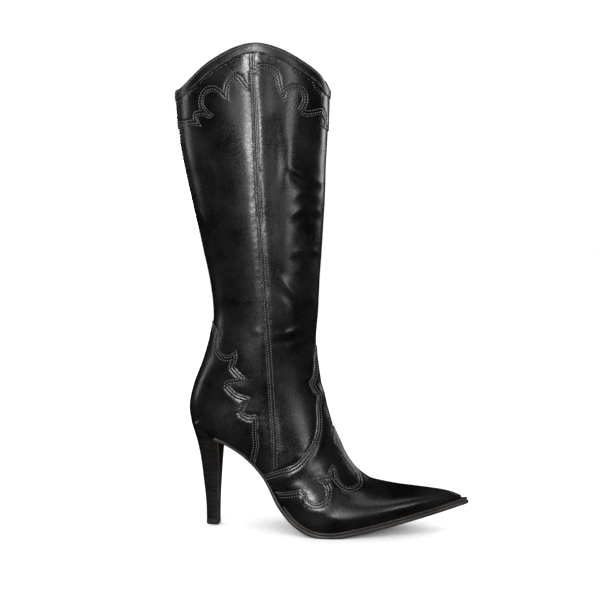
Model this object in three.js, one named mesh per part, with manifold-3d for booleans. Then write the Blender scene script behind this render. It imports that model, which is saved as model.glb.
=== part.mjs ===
// Knee-high high-heeled western boot, right foot, with a zip down its inner side.
// Millimetres, +Z up, +X towards the toe, -Y the outer side of the leg.
// The origin is the centre of the heel's tread, on the ground.
import * as THREE from 'three';
import { mergeVertices } from 'three/addons/utils/BufferGeometryUtils.js';
import Module from 'manifold-3d';

const wasm = await Module();
wasm.setup();

// ---- Driving dimensions ----------------------------------------------------

const GAP = 0.3; // clearance between neighbouring pieces
const UPPER_LEATHER = 1.3;
const OVERLAY_LEATHER = 1.2;
const STIFFENER = 1.0;
const TOE_PUFF = 0.6;
const LINING = 0.8;
const LASTING_MARGIN = 11; // upper turned under on to the insole
const BINDING_WIDTH = 8.5;

const WELT_THICKNESS = 2.0;
const OUTSOLE_FOREPART = 3.8;
const OUTSOLE_WAIST = 3.0;
const SOLE_EDGE = 2.2; // how far the sole stands out beyond the upper
const TOE_OVERHANG = 8.0; // how far the sole runs on past the toe
const BOARD_THICKNESS = 2.2;
const SOCK_THICKNESS = 0.9;

const LIFT_HEIGHT = 5.5;
const HEEL_COVER = 1.0;
const BREAST_COVER = 1.2;
const BREAST_X = 8.2; // heel breast where it meets the seat

const ZIP_TOP = 436;
const ZIP_BOTTOM = 124;
const ZIP_GAP = 5; // half the opening between the leather edges
const COIL_WIDTH = 2.6;
const COIL_THICKNESS = 2.0;

const AROUND = 24; // facets round a section of the boot
const EVENNESS = 0.1; // cut faces flatter than this are joined into larger facets
const TIP_RETREAT = 1.8; // how far each layer inside the toe ends short, in depths

// Depths under the outer face of the leather, layer by layer.
const STIFFENER_DEPTH = UPPER_LEATHER + GAP;
const LINING_DEPTH = STIFFENER_DEPTH + STIFFENER + 2 * GAP;
const INSIDE_DEPTH = LINING_DEPTH + LINING;

// Sections of the last, from the top of the leg down to the back of the heel seat.
// Each runs from the back line to the front line: [back x, back z, front x, front z].
const LEG = [
  [-32, 462, 113.5, 462],
  [-32, 412, 112.5, 412],
  [-28, 364, 110.5, 366],
  [-19, 319, 109, 322],
  [-8.5, 274, 106.5, 279],
  [0, 234, 104, 241],
  [3, 203, 102.5, 212],
  [-1.5, 181, 101.5, 195],
  [-8, 159, 100.5, 180],
  [-16, 138, 101, 167],
  [-20.5, 117, 102.5, 155],
];

// Sections from the back of the heel seat forward to the toe, from the sole line to the
// top line: [sole x, sole z, top x, top z, half width of the flat sole, widest half width].
const FOOT = [
  [-18.5, 101, 104.5, 144.5, 0, 33.6],
  [-15, 98.5, 106.5, 136.5, 14, 33.5],
  [-7, 95, 109, 127.5, 22, 33.3],
  [6, 90.5, 111.5, 117.5, 26.3, 33],
  [20, 84.5, 114.5, 107, 26.5, 32.7],
  [33, 76, 117.5, 96.5, 24.5, 32.5],
  [44.5, 65.5, 122.5, 86, 22.5, 32.5],
  [54.5, 53.5, 127, 75.5, 21.8, 33],
  [64, 40.5, 132.5, 66, 23, 34.2],
  [74, 27, 140.5, 56.5, 27, 36.4],
  [86, 15, 151.5, 49.5, 32.5, 38.6],
  [101, 7.4, 165, 46.4, 36.5, 39.6],
  [119, 5.6, 179, 44.2, 37.5, 38.6],
  [140, 9, 194, 42.6, 33.8, 34.4],
  [163, 13.5, 208, 41.2, 27.5, 28],
  [187, 19, 219, 39.9, 20, 20.6],
  [209, 24.3, 227.5, 38.2, 12.6, 13],
  [226, 28.6, 233.6, 36.2, 6.6, 7],
  [235.5, 31, 237, 34.4, 2.4, 3],
];

const ANKLE_HALF_WIDTH = 33;
const ANKLE_HEIGHT = 115;
const LEG_FLARE = 0.0494; // half width gained per millimetre of height
const TOE_SWING = 4; // the toe points a little inwards
const BACK_ROUNDNESS = 2.15; // exponent of the section's rear half

// Edges of the leather pieces, seen from the side as x, z. Each run is one smooth stretch,
// and runs meet at corners.
const TOPLINE = [
  [[-60, 410], [-26, 412], [-13, 418.5], [5.5, 432], [28, 443.5], [53, 448.5]],
  [[53, 448.5], [76, 442.5], [96.5, 431], [108, 421.5], [113, 413], [140, 410]],
];

const SIDE_SEAM = [
  [[45, 480], [46.5, 406], [49.5, 316], [54, 236], [57.5, 175], [60.5, 115], [62.5, 88], [63, 20]],
];

const COLLAR_BACK_EDGE = [
  [[-60, 376], [-13, 378], [0, 376.5]],
  [[0, 376.5], [-4, 385.5]],
  [[-4, 385.5], [2, 386], [8, 383.5], [12.5, 386.5]],
  [[12.5, 386.5], [5, 393], [2.7, 398], [5, 404], [9.5, 407], [14, 406.5], [18.5, 403], [23, 399], [28.5, 396.5]],
  [[28.5, 396.5], [27.5, 403], [28.5, 410], [31.5, 414.5], [34.5, 416.5]],
  [[34.5, 416.5], [38, 412], [42, 407.5], [50, 403.5]],
];

const COLLAR_FRONT_EDGE = [
  [[44, 414], [49.5, 419.5], [53.5, 423.5], [58, 424.8], [63, 423.8], [67, 420.5], [69.5, 410], [72, 402.5], [78, 394.5]],
  [[78, 394.5], [79, 401.5], [81.5, 406], [85, 407.2], [89, 406.3], [91.3, 402.5], [90.5, 397], [87.5, 392]],
  [[87.5, 392], [89.5, 388], [94, 385], [100, 385.8], [107, 388.5]],
  [[107, 388.5], [109.5, 383], [111, 375], [140, 372]],
];

const COUNTER_EDGE = [
  [[-60, 199], [-4, 199], [4, 195], [14.5, 188.5]],
  [[14.5, 188.5], [13, 182], [12.3, 175], [15, 170], [20, 167.6], [25.5, 169], [31, 173]],
  [[31, 173], [31.5, 165], [29, 157]],
  [[29, 157], [34, 152], [40.5, 146]],
  [[40.5, 146], [35, 141.5], [24, 139.5]],
  [[24, 139.5], [31, 133], [43.5, 129]],
  [[43.5, 129], [40, 121], [37, 115]],
  [[37, 115], [42, 112.3], [48.5, 113], [50.5, 108], [50.5, 95], [51, 83], [49, 74], [46, 62], [44, 40]],
];

const INSTEP_EDGE = [
  [[40, 46], [54, 55], [67, 60.5], [78, 64.5], [87, 69.5], [96, 80.5], [101.5, 91], [103.3, 104], [102.5, 119], [103.5, 127]],
  [[103.5, 127], [99.5, 132.5], [95.8, 141]],
  [[95.8, 141], [99, 147.5], [99.8, 157], [100, 168], [104, 180], [130, 190]],
];

const VAMP_EDGE = [
  [[50, 33], [62, 38.5], [75, 41.2], [84, 43], [90.5, 45]],
  [[90.5, 45], [96, 41], [97.5, 36], [101.5, 33.2], [107, 33], [112, 35.5], [113.3, 41], [111.5, 47], [106.5, 51], [100.3, 54.7]],
  [[100.3, 54.7], [108, 57.3], [114.6, 57]],
  [[114.6, 57], [115, 61], [117.8, 65.5]],
  [[117.8, 65.5], [121.5, 60], [123, 54], [127.5, 48.8], [133, 45.8], [138, 46.2], [140.8, 49.5], [139.5, 54.5]],
  [[139.5, 54.5], [131, 65], [125, 75], [119.5, 83]],
  [[119.5, 83], [118, 92], [121, 102], [160, 108]],
];

const VAMP_LINING_EDGE = [[[50, 30], [50, 66], [57, 84], [85, 104], [140, 135]]];
const HEEL_LINING_EDGE = [[[-60, 160], [10, 160], [38, 142], [54, 112], [57, 84]]];

// ---- The surface of the boot -----------------------------------------------

const point2 = ([x, z]) => new THREE.Vector2(x, z);
const BREAK = LEG.length; // the section at the back of the heel seat
const LAST = LEG.length + FOOT.length - 1;

const legBackLine = new THREE.SplineCurve([...LEG, FOOT[0]].map(point2));
const soleLine = new THREE.SplineCurve(FOOT.map(point2));
const frontLine = new THREE.SplineCurve([...LEG, ...FOOT].map((row) => point2(row.slice(2, 4))));
const footWidths = new THREE.SplineCurve(FOOT.map((row) => point2(row.slice(4, 6))));

function backPoint(t) {
  if (t <= BREAK) {
    return legBackLine.getPoint(t / BREAK);
  }
  return soleLine.getPoint((t - BREAK) / (LAST - BREAK));
}

function frontPoint(t) {
  return frontLine.getPoint(t / LAST);
}

// Where the section is widest, as a part of the way from its back to its front.
function crestAt(t) {
  return 0.54 - 0.24 * THREE.MathUtils.smoothstep(t, 8, BREAK + 9);
}

function widthsAt(t, crestHeight) {
  if (t > BREAK) {
    const widths = footWidths.getPoint((t - BREAK) / (LAST - BREAK));
    return { flat: Math.max(widths.x, 0), wide: Math.max(widths.y, widths.x) };
  }
  return { flat: 0, wide: ANKLE_HALF_WIDTH + (crestHeight - ANKLE_HEIGHT) * LEG_FLARE };
}

const swingAt = (x) => TOE_SWING * THREE.MathUtils.clamp((x - 105) / 132, 0, 1) ** 2;

// A point of the outer face on section t: turn 0 is the back or sole line, turn PI the
// front line, and a negative turn is the outer side of the boot.
function surfacePoint(t, turn) {
  const back = backPoint(t);
  const front = frontPoint(t);
  const crest = crestAt(t);
  const { flat, wide } = widthsAt(t, THREE.MathUtils.lerp(back.y, front.y, crest));
  const frontRoundness = 2.15 - 0.45 * THREE.MathUtils.clamp((t - 5) / 16, 0, 1);
  const angle = Math.abs(turn);
  const cosine = Math.abs(Math.cos(angle));
  const sine = Math.sin(angle);
  let along = crest * (1 - cosine ** (2 / BACK_ROUNDNESS));
  let out = flat + (wide - flat) * sine ** (2 / BACK_ROUNDNESS);
  if (angle > Math.PI / 2) {
    along = crest + (1 - crest) * cosine ** (2 / frontRoundness);
    out = wide * sine ** (2 / frontRoundness);
  }
  const place = back.clone().lerp(front, along);
  return new THREE.Vector3(place.x, Math.sign(turn) * out + swingAt(back.x), place.y);
}

// The sections where the facets break, closer round the back of the heel seat.
const PLACES = [];
for (let t = 0; t <= LAST; t += 1) {
  PLACES.push(t);
  if (t >= BREAK && t < BREAK + 2) {
    PLACES.push(t + 0.5);
  }
}

const TURNS = Array.from({ length: AROUND }, (_, j) => -Math.PI + (2 * Math.PI * (j + 0.5)) / AROUND);
const SKIN = PLACES.map((t) => TURNS.map((turn) => surfacePoint(t, turn)));

// The corners of the two facets between two sections and two turns.
function facetPair(i, j) {
  const next = (j + 1) % AROUND;
  return [[[i, j], [i, next], [i + 1, next]], [[i, j], [i + 1, next], [i + 1, j]]];
}

// For each corner of the skin, the outward move that lifts every facet that meets there by
// one millimetre, as nearly as one move can.
function outwardMoves() {
  const sums = SKIN.map((ring) => ring.map(() => ({ square: new THREE.Matrix3().multiplyScalar(0.1), total: new THREE.Vector3() })));
  for (let i = 0; i < SKIN.length - 1; i += 1) {
    for (let j = 0; j < AROUND; j += 1) {
      facetPair(i, j).forEach((corners) => {
        const [a, b, c] = corners.map(([row, column]) => SKIN[row][column]);
        const normal = b.clone().sub(a).cross(c.clone().sub(a)).normalize();
        corners.forEach(([row, column]) => addNormal(sums[row][column], normal));
      });
    }
  }
  return sums.map((ring) => ring.map(({ square, total }) => total.applyMatrix3(square.invert())));
}

function addNormal({ square, total }, normal) {
  const n = normal.toArray();
  for (let row = 0; row < 3; row += 1) {
    for (let column = 0; column < 3; column += 1) {
      square.elements[column * 3 + row] += n[row] * n[column];
    }
  }
  total.add(normal);
}

const MOVES = outwardMoves();

// ---- Solids ----------------------------------------------------------------

function toSolid(geometry) {
  const bare = geometry.clone();
  bare.deleteAttribute('normal');
  bare.deleteAttribute('uv');
  const merged = mergeVertices(bare, 1e-4);
  return new wasm.Manifold(new wasm.Mesh({
    numProp: 3,
    vertProperties: new Float32Array(merged.attributes.position.array),
    triVerts: new Uint32Array(merged.index.array),
  }));
}

function toGeometry(solid) {
  const mesh = solid.asOriginal().simplify(EVENNESS).getMesh();
  const geometry = new THREE.BufferGeometry();
  geometry.setAttribute('position', new THREE.BufferAttribute(new Float32Array(mesh.vertProperties), 3));
  geometry.setIndex(new THREE.BufferAttribute(new Uint32Array(mesh.triVerts), 1));
  const flat = geometry.toNonIndexed();
  flat.computeVertexNormals();
  return flat;
}

// A closed solid through rings of points, with a fan over each end.
function loftSolid(rings) {
  const count = rings[0].length;
  const positions = [];
  const indices = [];
  rings.forEach((ring) => ring.forEach((p) => positions.push(p.x, p.y, p.z)));
  for (let i = 0; i < rings.length - 1; i += 1) {
    for (let j = 0; j < count; j += 1) {
      const a = i * count + j;
      const b = i * count + ((j + 1) % count);
      indices.push(a, b, b + count, a, b + count, a + count);
    }
  }
  for (const end of [0, rings.length - 1]) {
    const centre = new THREE.Vector3();
    rings[end].forEach((p) => centre.addScaledVector(p, 1 / count));
    const hub = positions.length / 3;
    positions.push(centre.x, centre.y, centre.z);
    for (let j = 0; j < count; j += 1) {
      const a = end * count + j;
      const b = end * count + ((j + 1) % count);
      indices.push(...(end === 0 ? [hub, b, a] : [hub, a, b]));
    }
  }
  const geometry = new THREE.BufferGeometry();
  geometry.setAttribute('position', new THREE.Float32BufferAttribute(positions, 3));
  geometry.setIndex(indices);
  const solid = toSolid(geometry);
  return solid.volume() < 0 ? flipped(geometry) : solid;
}

function flipped(geometry) {
  const index = geometry.index.array;
  for (let i = 0; i < index.length; i += 3) {
    [index[i], index[i + 1]] = [index[i + 1], index[i]];
  }
  return toSolid(geometry);
}

const bootSolids = new Map();

// The whole boot as a solid, its face a given depth under the leather's outer face. Inside
// the leather it stops short of the toe's point.
function bootSolid(depth) {
  if (!bootSolids.has(depth)) {
    const kept = SKIN.length - Math.max(0, Math.ceil(depth / 4.2));
    const rings = SKIN.slice(0, kept).map((ring, i) => ring.map((p, j) => p.clone().addScaledVector(MOVES[i][j], -depth)));
    if (depth > 0) {
      rings[kept - 1].forEach((p) => p.addScaledVector(new THREE.Vector3(1, 0, 0), -depth * TIP_RETREAT));
    }
    bootSolids.set(depth, loftSolid(rings));
  }
  return bootSolids.get(depth);
}

// A layer of the boot between two depths, open inside and cut to the topline.
function layer(outer, inner) {
  return bootSolid(outer).subtract(bootSolid(inner)).subtract(aboveTopline);
}

// The points of an edge, with each smooth run divided a little.
function edgePoints(runs, divisions = 1) {
  return runs.flatMap((run, i) => {
    const points = new THREE.SplineCurve(run.map(point2)).getPoints((run.length - 1) * divisions);
    return i === 0 ? points : points.slice(1);
  });
}

// A solid with a given side view, from one y to another.
function sideSolid(points, fromY = -90, toY = 90) {
  const shape = new THREE.Shape(points);
  const geometry = new THREE.ExtrudeGeometry(shape, { depth: toY - fromY, bevelEnabled: false });
  geometry.rotateX(Math.PI / 2);
  geometry.translate(0, toY, 0);
  return toSolid(geometry);
}

// Everything on one side of an edge: the edge closed round the given far corners.
function regionSolid(points, corners, fromY, toY) {
  return sideSolid([...points, ...corners.map(point2)], fromY, toY);
}

// The saw cut that parts two pieces along an edge.
function kerf(points, fromY = -90, toY = 90, width = GAP) {
  const cuts = [];
  for (let i = 0; i < points.length - 1; i += 1) {
    const run = points[i + 1].clone().sub(points[i]);
    const cut = new THREE.BoxGeometry(run.length() + width, toY - fromY, width);
    cut.rotateY(-run.angle());
    const middle = points[i].clone().lerp(points[i + 1], 0.5);
    cut.translate(middle.x, (fromY + toY) / 2, middle.y);
    cuts.push(toSolid(cut));
  }
  return wasm.Manifold.union(cuts);
}

// The largest body of a solid that a cut may have left in several.
function mainBody(solid) {
  const bodies = solid.decompose();
  return bodies.reduce((best, body) => (body.volume() > best.volume() ? body : best));
}

function shiftedDown(points, distance) {
  return points.map((p, i) => {
    const before = points[Math.max(i - 1, 0)];
    const after = points[Math.min(i + 1, points.length - 1)];
    const run = after.clone().sub(before).normalize();
    return new THREE.Vector2(p.x + run.y * distance, p.y - run.x * distance);
  });
}

const FAR_ABOVE = [[140, 520], [-60, 520]];
const toplinePoints = edgePoints(TOPLINE);
const aboveTopline = regionSolid(toplinePoints, FAR_ABOVE);

// The zip's straight line down the inner side, where the leg's side is widest.
function zipPoint(z) {
  const x = 45.5 + (412 - z) * 0.0435;
  const y = ANKLE_HALF_WIDTH + (z - ANKLE_HEIGHT) * LEG_FLARE;
  return new THREE.Vector3(x, y, z);
}

// A strip along the zip, between two distances ahead of its line.
function zipStrip(from, to, low, high) {
  const a = zipPoint(low);
  const b = zipPoint(high);
  const corners = [[a.x + from, low], [a.x + to, low], [b.x + to, high], [b.x + from, high]];
  return sideSolid(corners.map(point2), 1, 90);
}

const zipOpening = zipStrip(-ZIP_GAP, ZIP_GAP, ZIP_BOTTOM - 3, 480);

// ---- The group and its materials -------------------------------------------

const boot = new THREE.Group();

const BLACK_LEATHER = { color: 0x151414, roughness: 0.32, metalness: 0 };
const BLACK_BINDING = { color: 0x121212, roughness: 0.38, metalness: 0 };
const LINING_LEATHER = { color: 0x2b2725, roughness: 0.7, metalness: 0 };
const FIBREBOARD = { color: 0x8a6f52, roughness: 0.9, metalness: 0 };
const STIFF_SHEET = { color: 0xb9ad98, roughness: 0.85, metalness: 0 };
const CORK = { color: 0x9b7148, roughness: 0.95, metalness: 0 };
const STEEL = { color: 0x9a9da0, roughness: 0.35, metalness: 1 };
const SOLE_LEATHER = { color: 0x241f1c, roughness: 0.5, metalness: 0 };
const STACKED_LEATHER = { color: 0x1b1715, roughness: 0.42, metalness: 0 };
const HEEL_PLASTIC = { color: 0x6d6a64, roughness: 0.5, metalness: 0 };
const LIFT_RUBBER = { color: 0x0f0f0f, roughness: 0.75, metalness: 0 };
const ZIP_TAPE = { color: 0x141416, roughness: 0.85, metalness: 0 };
const ZIP_NYLON = { color: 0x1a1a1c, roughness: 0.45, metalness: 0 };
const ZIP_METAL = { color: 0x55565a, roughness: 0.3, metalness: 1 };

function addPiece(name, solid, look, frame) {
  const mesh = new THREE.Mesh(toGeometry(solid), new THREE.MeshStandardMaterial(look));
  mesh.name = name;
  if (frame) {
    frame.decompose(mesh.position, mesh.quaternion, mesh.scale);
  }
  boot.add(mesh);
}

// ---- Sole ------------------------------------------------------------------

// The sole line, broken where the facets break, with its flat half width, how fast that
// grows, and the mitred upward move that keeps a slab's faces parallel to the sole.
const soleStations = PLACES.filter((t) => t >= BREAK).map((t) => {
  const place = backPoint(t);
  return { t, place, flat: widthsAt(t, 0).flat, swing: swingAt(place.x) };
});
soleStations.forEach((station, i) => {
  const before = soleStations[Math.max(i - 1, 0)];
  const after = soleStations[Math.min(i + 1, soleStations.length - 1)];
  const runs = [[before, station], [station, after]].filter(([a, b]) => a !== b);
  const normals = runs.map(([a, b]) => {
    const run = b.place.clone().sub(a.place).normalize();
    return new THREE.Vector2(-run.y, run.x);
  });
  const [first, second] = [normals[0], normals[normals.length - 1]];
  station.up = first.clone().add(second).divideScalar(1 + first.dot(second));
  station.slope = (after.flat - before.flat) / before.place.distanceTo(after.place);
});

// One cross-section of a slab, between two heights above the sole line.
function slabRing({ place, up, swing }, half, low, high) {
  const bottom = place.clone().addScaledVector(up, low);
  const top = place.clone().addScaledVector(up, high);
  return [
    new THREE.Vector3(bottom.x, swing - half, bottom.y),
    new THREE.Vector3(bottom.x, swing + half, bottom.y),
    new THREE.Vector3(top.x, swing + half, top.y),
    new THREE.Vector3(top.x, swing - half, top.y),
  ];
}

// A flat piece that follows the sole line, its edge moved in by an inset.
function soleSlab({ from = BREAK, to = LAST - 1, inset, low, high }) {
  const rings = [];
  soleStations.forEach((station) => {
    const half = station.flat - inset * Math.hypot(1, station.slope);
    if (station.t >= from && station.t <= to && half > 1) {
      rings.push(slabRing(station, half, low, high));
    }
  });
  return loftSolid(rings);
}

const FOREPART = BREAK + 9; // the welt starts here, where the sole has its full thickness

function forepart(t) {
  return THREE.MathUtils.smoothstep(t, FOREPART - 2, FOREPART);
}

function outsoleTop(t) {
  return -GAP - forepart(t) * (WELT_THICKNESS + GAP);
}

function outsoleBottom(t) {
  return outsoleTop(t) - THREE.MathUtils.lerp(OUTSOLE_WAIST, OUTSOLE_FOREPART, forepart(t));
}

// A slab whose edge stands out past the upper, and which runs on past the toe.
function edgedSlab(from, low, high) {
  const rings = soleStations.filter(({ t }) => t >= from).map((station) => {
    const edge = THREE.MathUtils.lerp(0.8, SOLE_EDGE, forepart(station.t));
    return slabRing(station, station.flat + edge, low(station.t), high(station.t));
  });
  const end = soleStations[soleStations.length - 1];
  const forward = new THREE.Vector2(end.up.y, -end.up.x);
  for (const [ahead, half] of [[0.55, 2.9], [1, 1.2]]) {
    const place = end.place.clone().addScaledVector(forward, ahead * TOE_OVERHANG);
    rings.push(slabRing({ ...end, place }, half, low(end.t), high(end.t)));
  }
  return loftSolid(rings);
}

function aheadOf(x) {
  return toSolid(new THREE.BoxGeometry(400, 200, 400).translate(x + 200, 0, 100));
}

// The opening left under the foot, inside the turned-under margin.
const insideMargin = soleSlab({ inset: LASTING_MARGIN, low: -4, high: 9 });

const WELT_WIDTH = 8; // from the upper's edge inwards

function addSole() {
  const ground = toSolid(new THREE.BoxGeometry(400, 200, 40).translate(100, 0, -20));
  const outsole = edgedSlab(BREAK + 3, outsoleBottom, outsoleTop).intersect(aheadOf(BREAST_X)).subtract(ground);
  addPiece('outsole', outsole, SOLE_LEATHER);
  const weltTop = () => -GAP;
  const weltBottom = () => -GAP - WELT_THICKNESS;
  const well = soleSlab({ from: BREAK + 5, inset: WELT_WIDTH, low: -6, high: 2 });
  const start = backPoint(FOREPART).x;
  addPiece('welt', mainBody(edgedSlab(FOREPART, weltBottom, weltTop).subtract(well)), SOLE_LEATHER);
  const ahead = aheadOf(start + GAP);
  const lower = soleSlab({ from: BREAK + 5, inset: WELT_WIDTH + GAP, low: -GAP - WELT_THICKNESS, high: -GAP });
  const upper = soleSlab({ inset: LASTING_MARGIN + GAP, low: -2 * GAP, high: INSIDE_DEPTH });
  addPiece('bottom_filler', mainBody(lower.add(upper).intersect(ahead)), CORK);
}

const BOARD_LOW = INSIDE_DEPTH + GAP;
const BOARD_HIGH = BOARD_LOW + BOARD_THICKNESS;

function addInsole() {
  const inset = INSIDE_DEPTH + 1;
  let board = soleSlab({ to: LAST - 2, inset, low: BOARD_LOW, high: BOARD_HIGH });
  heelFixings.forEach(({ hole }) => {
    board = board.subtract(hole);
  });
  addPiece('insole_board', board, FIBREBOARD);
  const low = BOARD_HIGH + GAP;
  addPiece('sock_liner', soleSlab({ to: LAST - 3, inset: inset + 1, low, high: low + SOCK_THICKNESS }), LINING_LEATHER);
}

const SHANK = { width: 9, low: 1.4, high: 3.4, from: BREAK + 2, to: BREAK + 8 };

function addShank() {
  const along = soleStations.filter(({ t }) => t >= SHANK.from && t <= SHANK.to);
  let shank = loftSolid(along.map((station) => slabRing(station, SHANK.width / 2, SHANK.low, SHANK.high)));
  heelFixings.forEach(({ hole }) => {
    shank = shank.subtract(hole);
  });
  addPiece('steel_shank', mainBody(shank), STEEL);
}

// ---- Upper -----------------------------------------------------------------

function addUpper() {
  const seam = edgePoints(SIDE_SEAM);
  const counterEdge = edgePoints(COUNTER_EDGE);
  const instepEdge = edgePoints(INSTEP_EDGE);
  const vampEdge = edgePoints(VAMP_EDGE);
  const aheadOfSeam = regionSolid(seam, [[300, 20], [300, 480]]);
  const heelRegion = regionSolid(counterEdge, [[-60, 40]]);
  const belowInstep = regionSolid(instepEdge, [[300, 190], [300, -20], [40, -20]]);
  const vampRegion = regionSolid(vampEdge, [[300, 108], [300, -20], [50, -20]]);

  let leather = layer(0, UPPER_LEATHER).subtract(insideMargin).subtract(zipOpening);
  leather = leather.subtract(shortenedTop(-0.1, UPPER_LEATHER + 1));
  const vampAndRest = leather.subtract(kerf(vampEdge));
  addPiece('vamp', mainBody(vampAndRest.intersect(vampRegion)), BLACK_LEATHER);
  const aboveVamp = vampAndRest.subtract(vampRegion).subtract(kerf(instepEdge));
  addPiece('instep_piece', mainBody(aboveVamp.intersect(belowInstep)), BLACK_LEATHER);
  const legAndHeel = aboveVamp.subtract(belowInstep).subtract(kerf(counterEdge));
  addPiece('counter', mainBody(legAndHeel.intersect(heelRegion)), BLACK_LEATHER);
  const leg = legAndHeel.subtract(heelRegion).subtract(kerf(seam));
  addPiece('shaft_front', mainBody(leg.intersect(aheadOfSeam)), BLACK_LEATHER);
  addPiece('shaft_back', mainBody(leg.subtract(aheadOfSeam)), BLACK_LEATHER);
}

// The leg's edge stops this far under the topline to leave room for the folded binding.
function shortenedTop(outer, inner) {
  const points = shiftedDown(toplinePoints, OVERLAY_LEATHER + GAP);
  return bootSolid(outer).subtract(bootSolid(inner)).intersect(regionSolid(points, FAR_ABOVE));
}

function addCollars() {
  const outer = -GAP - OVERLAY_LEATHER;
  const seam = edgePoints(SIDE_SEAM);
  const aheadOfSeam = regionSolid(seam, [[300, 20], [300, 480]]);
  const underBinding = shiftedDown(toplinePoints, BINDING_WIDTH + GAP);
  const band = layer(outer, -GAP)
    .subtract(regionSolid(underBinding, FAR_ABOVE))
    .subtract(zipOpening)
    .subtract(kerf(seam));
  const backRegion = regionSolid(edgePoints(COLLAR_BACK_EDGE), [[70, 480], [-60, 480]]);
  const frontRegion = regionSolid(edgePoints(COLLAR_FRONT_EDGE), [[140, 480], [44, 480]]);
  addPiece('collar_back', mainBody(band.intersect(backRegion).subtract(aheadOfSeam)), BLACK_LEATHER);
  addPiece('collar_front', mainBody(band.intersect(frontRegion).intersect(aheadOfSeam)), BLACK_LEATHER);
}

// A strip folded over the topline, its outer leg stitched to the collar.
function addBinding() {
  const outer = -GAP - OVERLAY_LEATHER;
  const inner = INSIDE_DEPTH + GAP + LINING;
  const seam = edgePoints(SIDE_SEAM);
  const aheadOfSeam = regionSolid(seam, [[300, 20], [300, 480]]);
  const bandFoot = shiftedDown(toplinePoints, BINDING_WIDTH);
  const foldFoot = shiftedDown(toplinePoints, OVERLAY_LEATHER);
  const core = bootSolid(-GAP).subtract(bootSolid(INSIDE_DEPTH + GAP));
  const binding = layer(outer, inner)
    .intersect(regionSolid(bandFoot, FAR_ABOVE))
    .subtract(core.subtract(regionSolid(foldFoot, FAR_ABOVE)))
    .subtract(zipOpening)
    .subtract(kerf(seam));
  addPiece('binding_front', mainBody(binding.intersect(aheadOfSeam)), BLACK_BINDING);
  addPiece('binding_back', mainBody(binding.subtract(aheadOfSeam)), BLACK_BINDING);
}

// ---- Linings and stiffeners ------------------------------------------------

function addLinings() {
  const seam = edgePoints(SIDE_SEAM);
  const vampEdge = edgePoints(VAMP_LINING_EDGE);
  const heelEdge = edgePoints(HEEL_LINING_EDGE);
  const vampRegion = regionSolid(vampEdge, [[300, 135], [300, -20], [50, -20]]);
  const heelRegion = regionSolid(heelEdge, [[57, -20], [-60, -20]]);
  const aheadOfSeam = regionSolid(seam, [[300, 20], [300, 480]]);
  let lining = layer(LINING_DEPTH, INSIDE_DEPTH).subtract(insideMargin);
  lining = lining.subtract(zipStrip(-ZIP_GAP - 1, ZIP_GAP + 1, ZIP_BOTTOM - 3, 480));
  lining = lining.subtract(shortenedTop(LINING_DEPTH - 0.5, INSIDE_DEPTH + 0.5));
  const withoutVamp = lining.subtract(kerf(vampEdge));
  addPiece('vamp_lining', mainBody(withoutVamp.intersect(vampRegion)), LINING_LEATHER);
  const rest = withoutVamp.subtract(vampRegion).subtract(kerf(heelEdge));
  addPiece('heel_lining', mainBody(rest.intersect(heelRegion)), LINING_LEATHER);
  const leg = rest.subtract(heelRegion).subtract(kerf(seam));
  addPiece('shaft_lining_front', mainBody(leg.intersect(aheadOfSeam)), LINING_LEATHER);
  addPiece('shaft_lining_back', mainBody(leg.subtract(aheadOfSeam)), LINING_LEATHER);
}

function addStiffeners() {
  const stiff = layer(STIFFENER_DEPTH, STIFFENER_DEPTH + STIFFENER).subtract(insideMargin);
  const puff = layer(STIFFENER_DEPTH, STIFFENER_DEPTH + TOE_PUFF).subtract(insideMargin);
  const heelEdge = edgePoints([[[-60, 158], [0, 156], [28, 140], [42, 112], [46, 60], [46, 30]]]);
  addPiece('heel_stiffener', mainBody(stiff.intersect(regionSolid(heelEdge, [[-60, 30]]))), STIFF_SHEET);
  const toeEdge = edgePoints([[[190, -20], [195, 24], [203, 60]]]);
  addPiece('toe_puff', mainBody(puff.intersect(regionSolid(toeEdge, [[300, 60], [300, -20]]))), STIFF_SHEET);
}

// ---- Heel ------------------------------------------------------------------

const heelBackLine = [[0, -5.5], [20, -5.8], [42, -8], [71, -11.8], [88, -15.6], [97, -18.2], [106, -20]];
const heelHalfWidths = [[0, 5.5], [20, 6.2], [45, 8.4], [66, 12], [80, 17], [90, 22], [97, 25], [106, 26]];
const heelBreastLine = [[0, 5.5], [28, 6], [66, 7.6], [90, BREAST_X], [106, BREAST_X]];
const HEEL_HEIGHTS = [LIFT_HEIGHT + GAP, 20, 34, 48, 60, 71, 80, 88, 95, 106];

// Straight-line lookup in a short table of height and value.
function profile(table, z) {
  const next = Math.max(1, table.findIndex(([height]) => height >= z));
  const [lowZ, low] = table[next - 1];
  const [highZ, high] = table[next];
  return THREE.MathUtils.mapLinear(z, lowZ, highZ, low, high);
}

// A D-shaped section of the heel: round at the back, and flat at the breast or a little
// way ahead of it.
function heelRing(z, inset, ahead) {
  const back = profile(heelBackLine, z) + inset;
  const breast = profile(heelBreastLine, z);
  const half = profile(heelHalfWidths, z) - inset;
  const steps = 12;
  const ring = [];
  for (let i = 0; i <= steps; i += 1) {
    const angle = -Math.PI / 2 + (Math.PI * i) / steps;
    const x = breast - (breast - back) * Math.cos(angle) ** 0.8;
    ring.push(new THREE.Vector3(x, half * Math.sin(angle), z));
  }
  if (ahead > 0) {
    ring.push(new THREE.Vector3(breast + ahead, half, z), new THREE.Vector3(breast + ahead, -half, z));
  }
  return ring;
}

function heelSolid(inset, ahead, heights = HEEL_HEIGHTS) {
  return loftSolid(heights.map((z) => heelRing(z, inset, ahead)));
}

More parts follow.
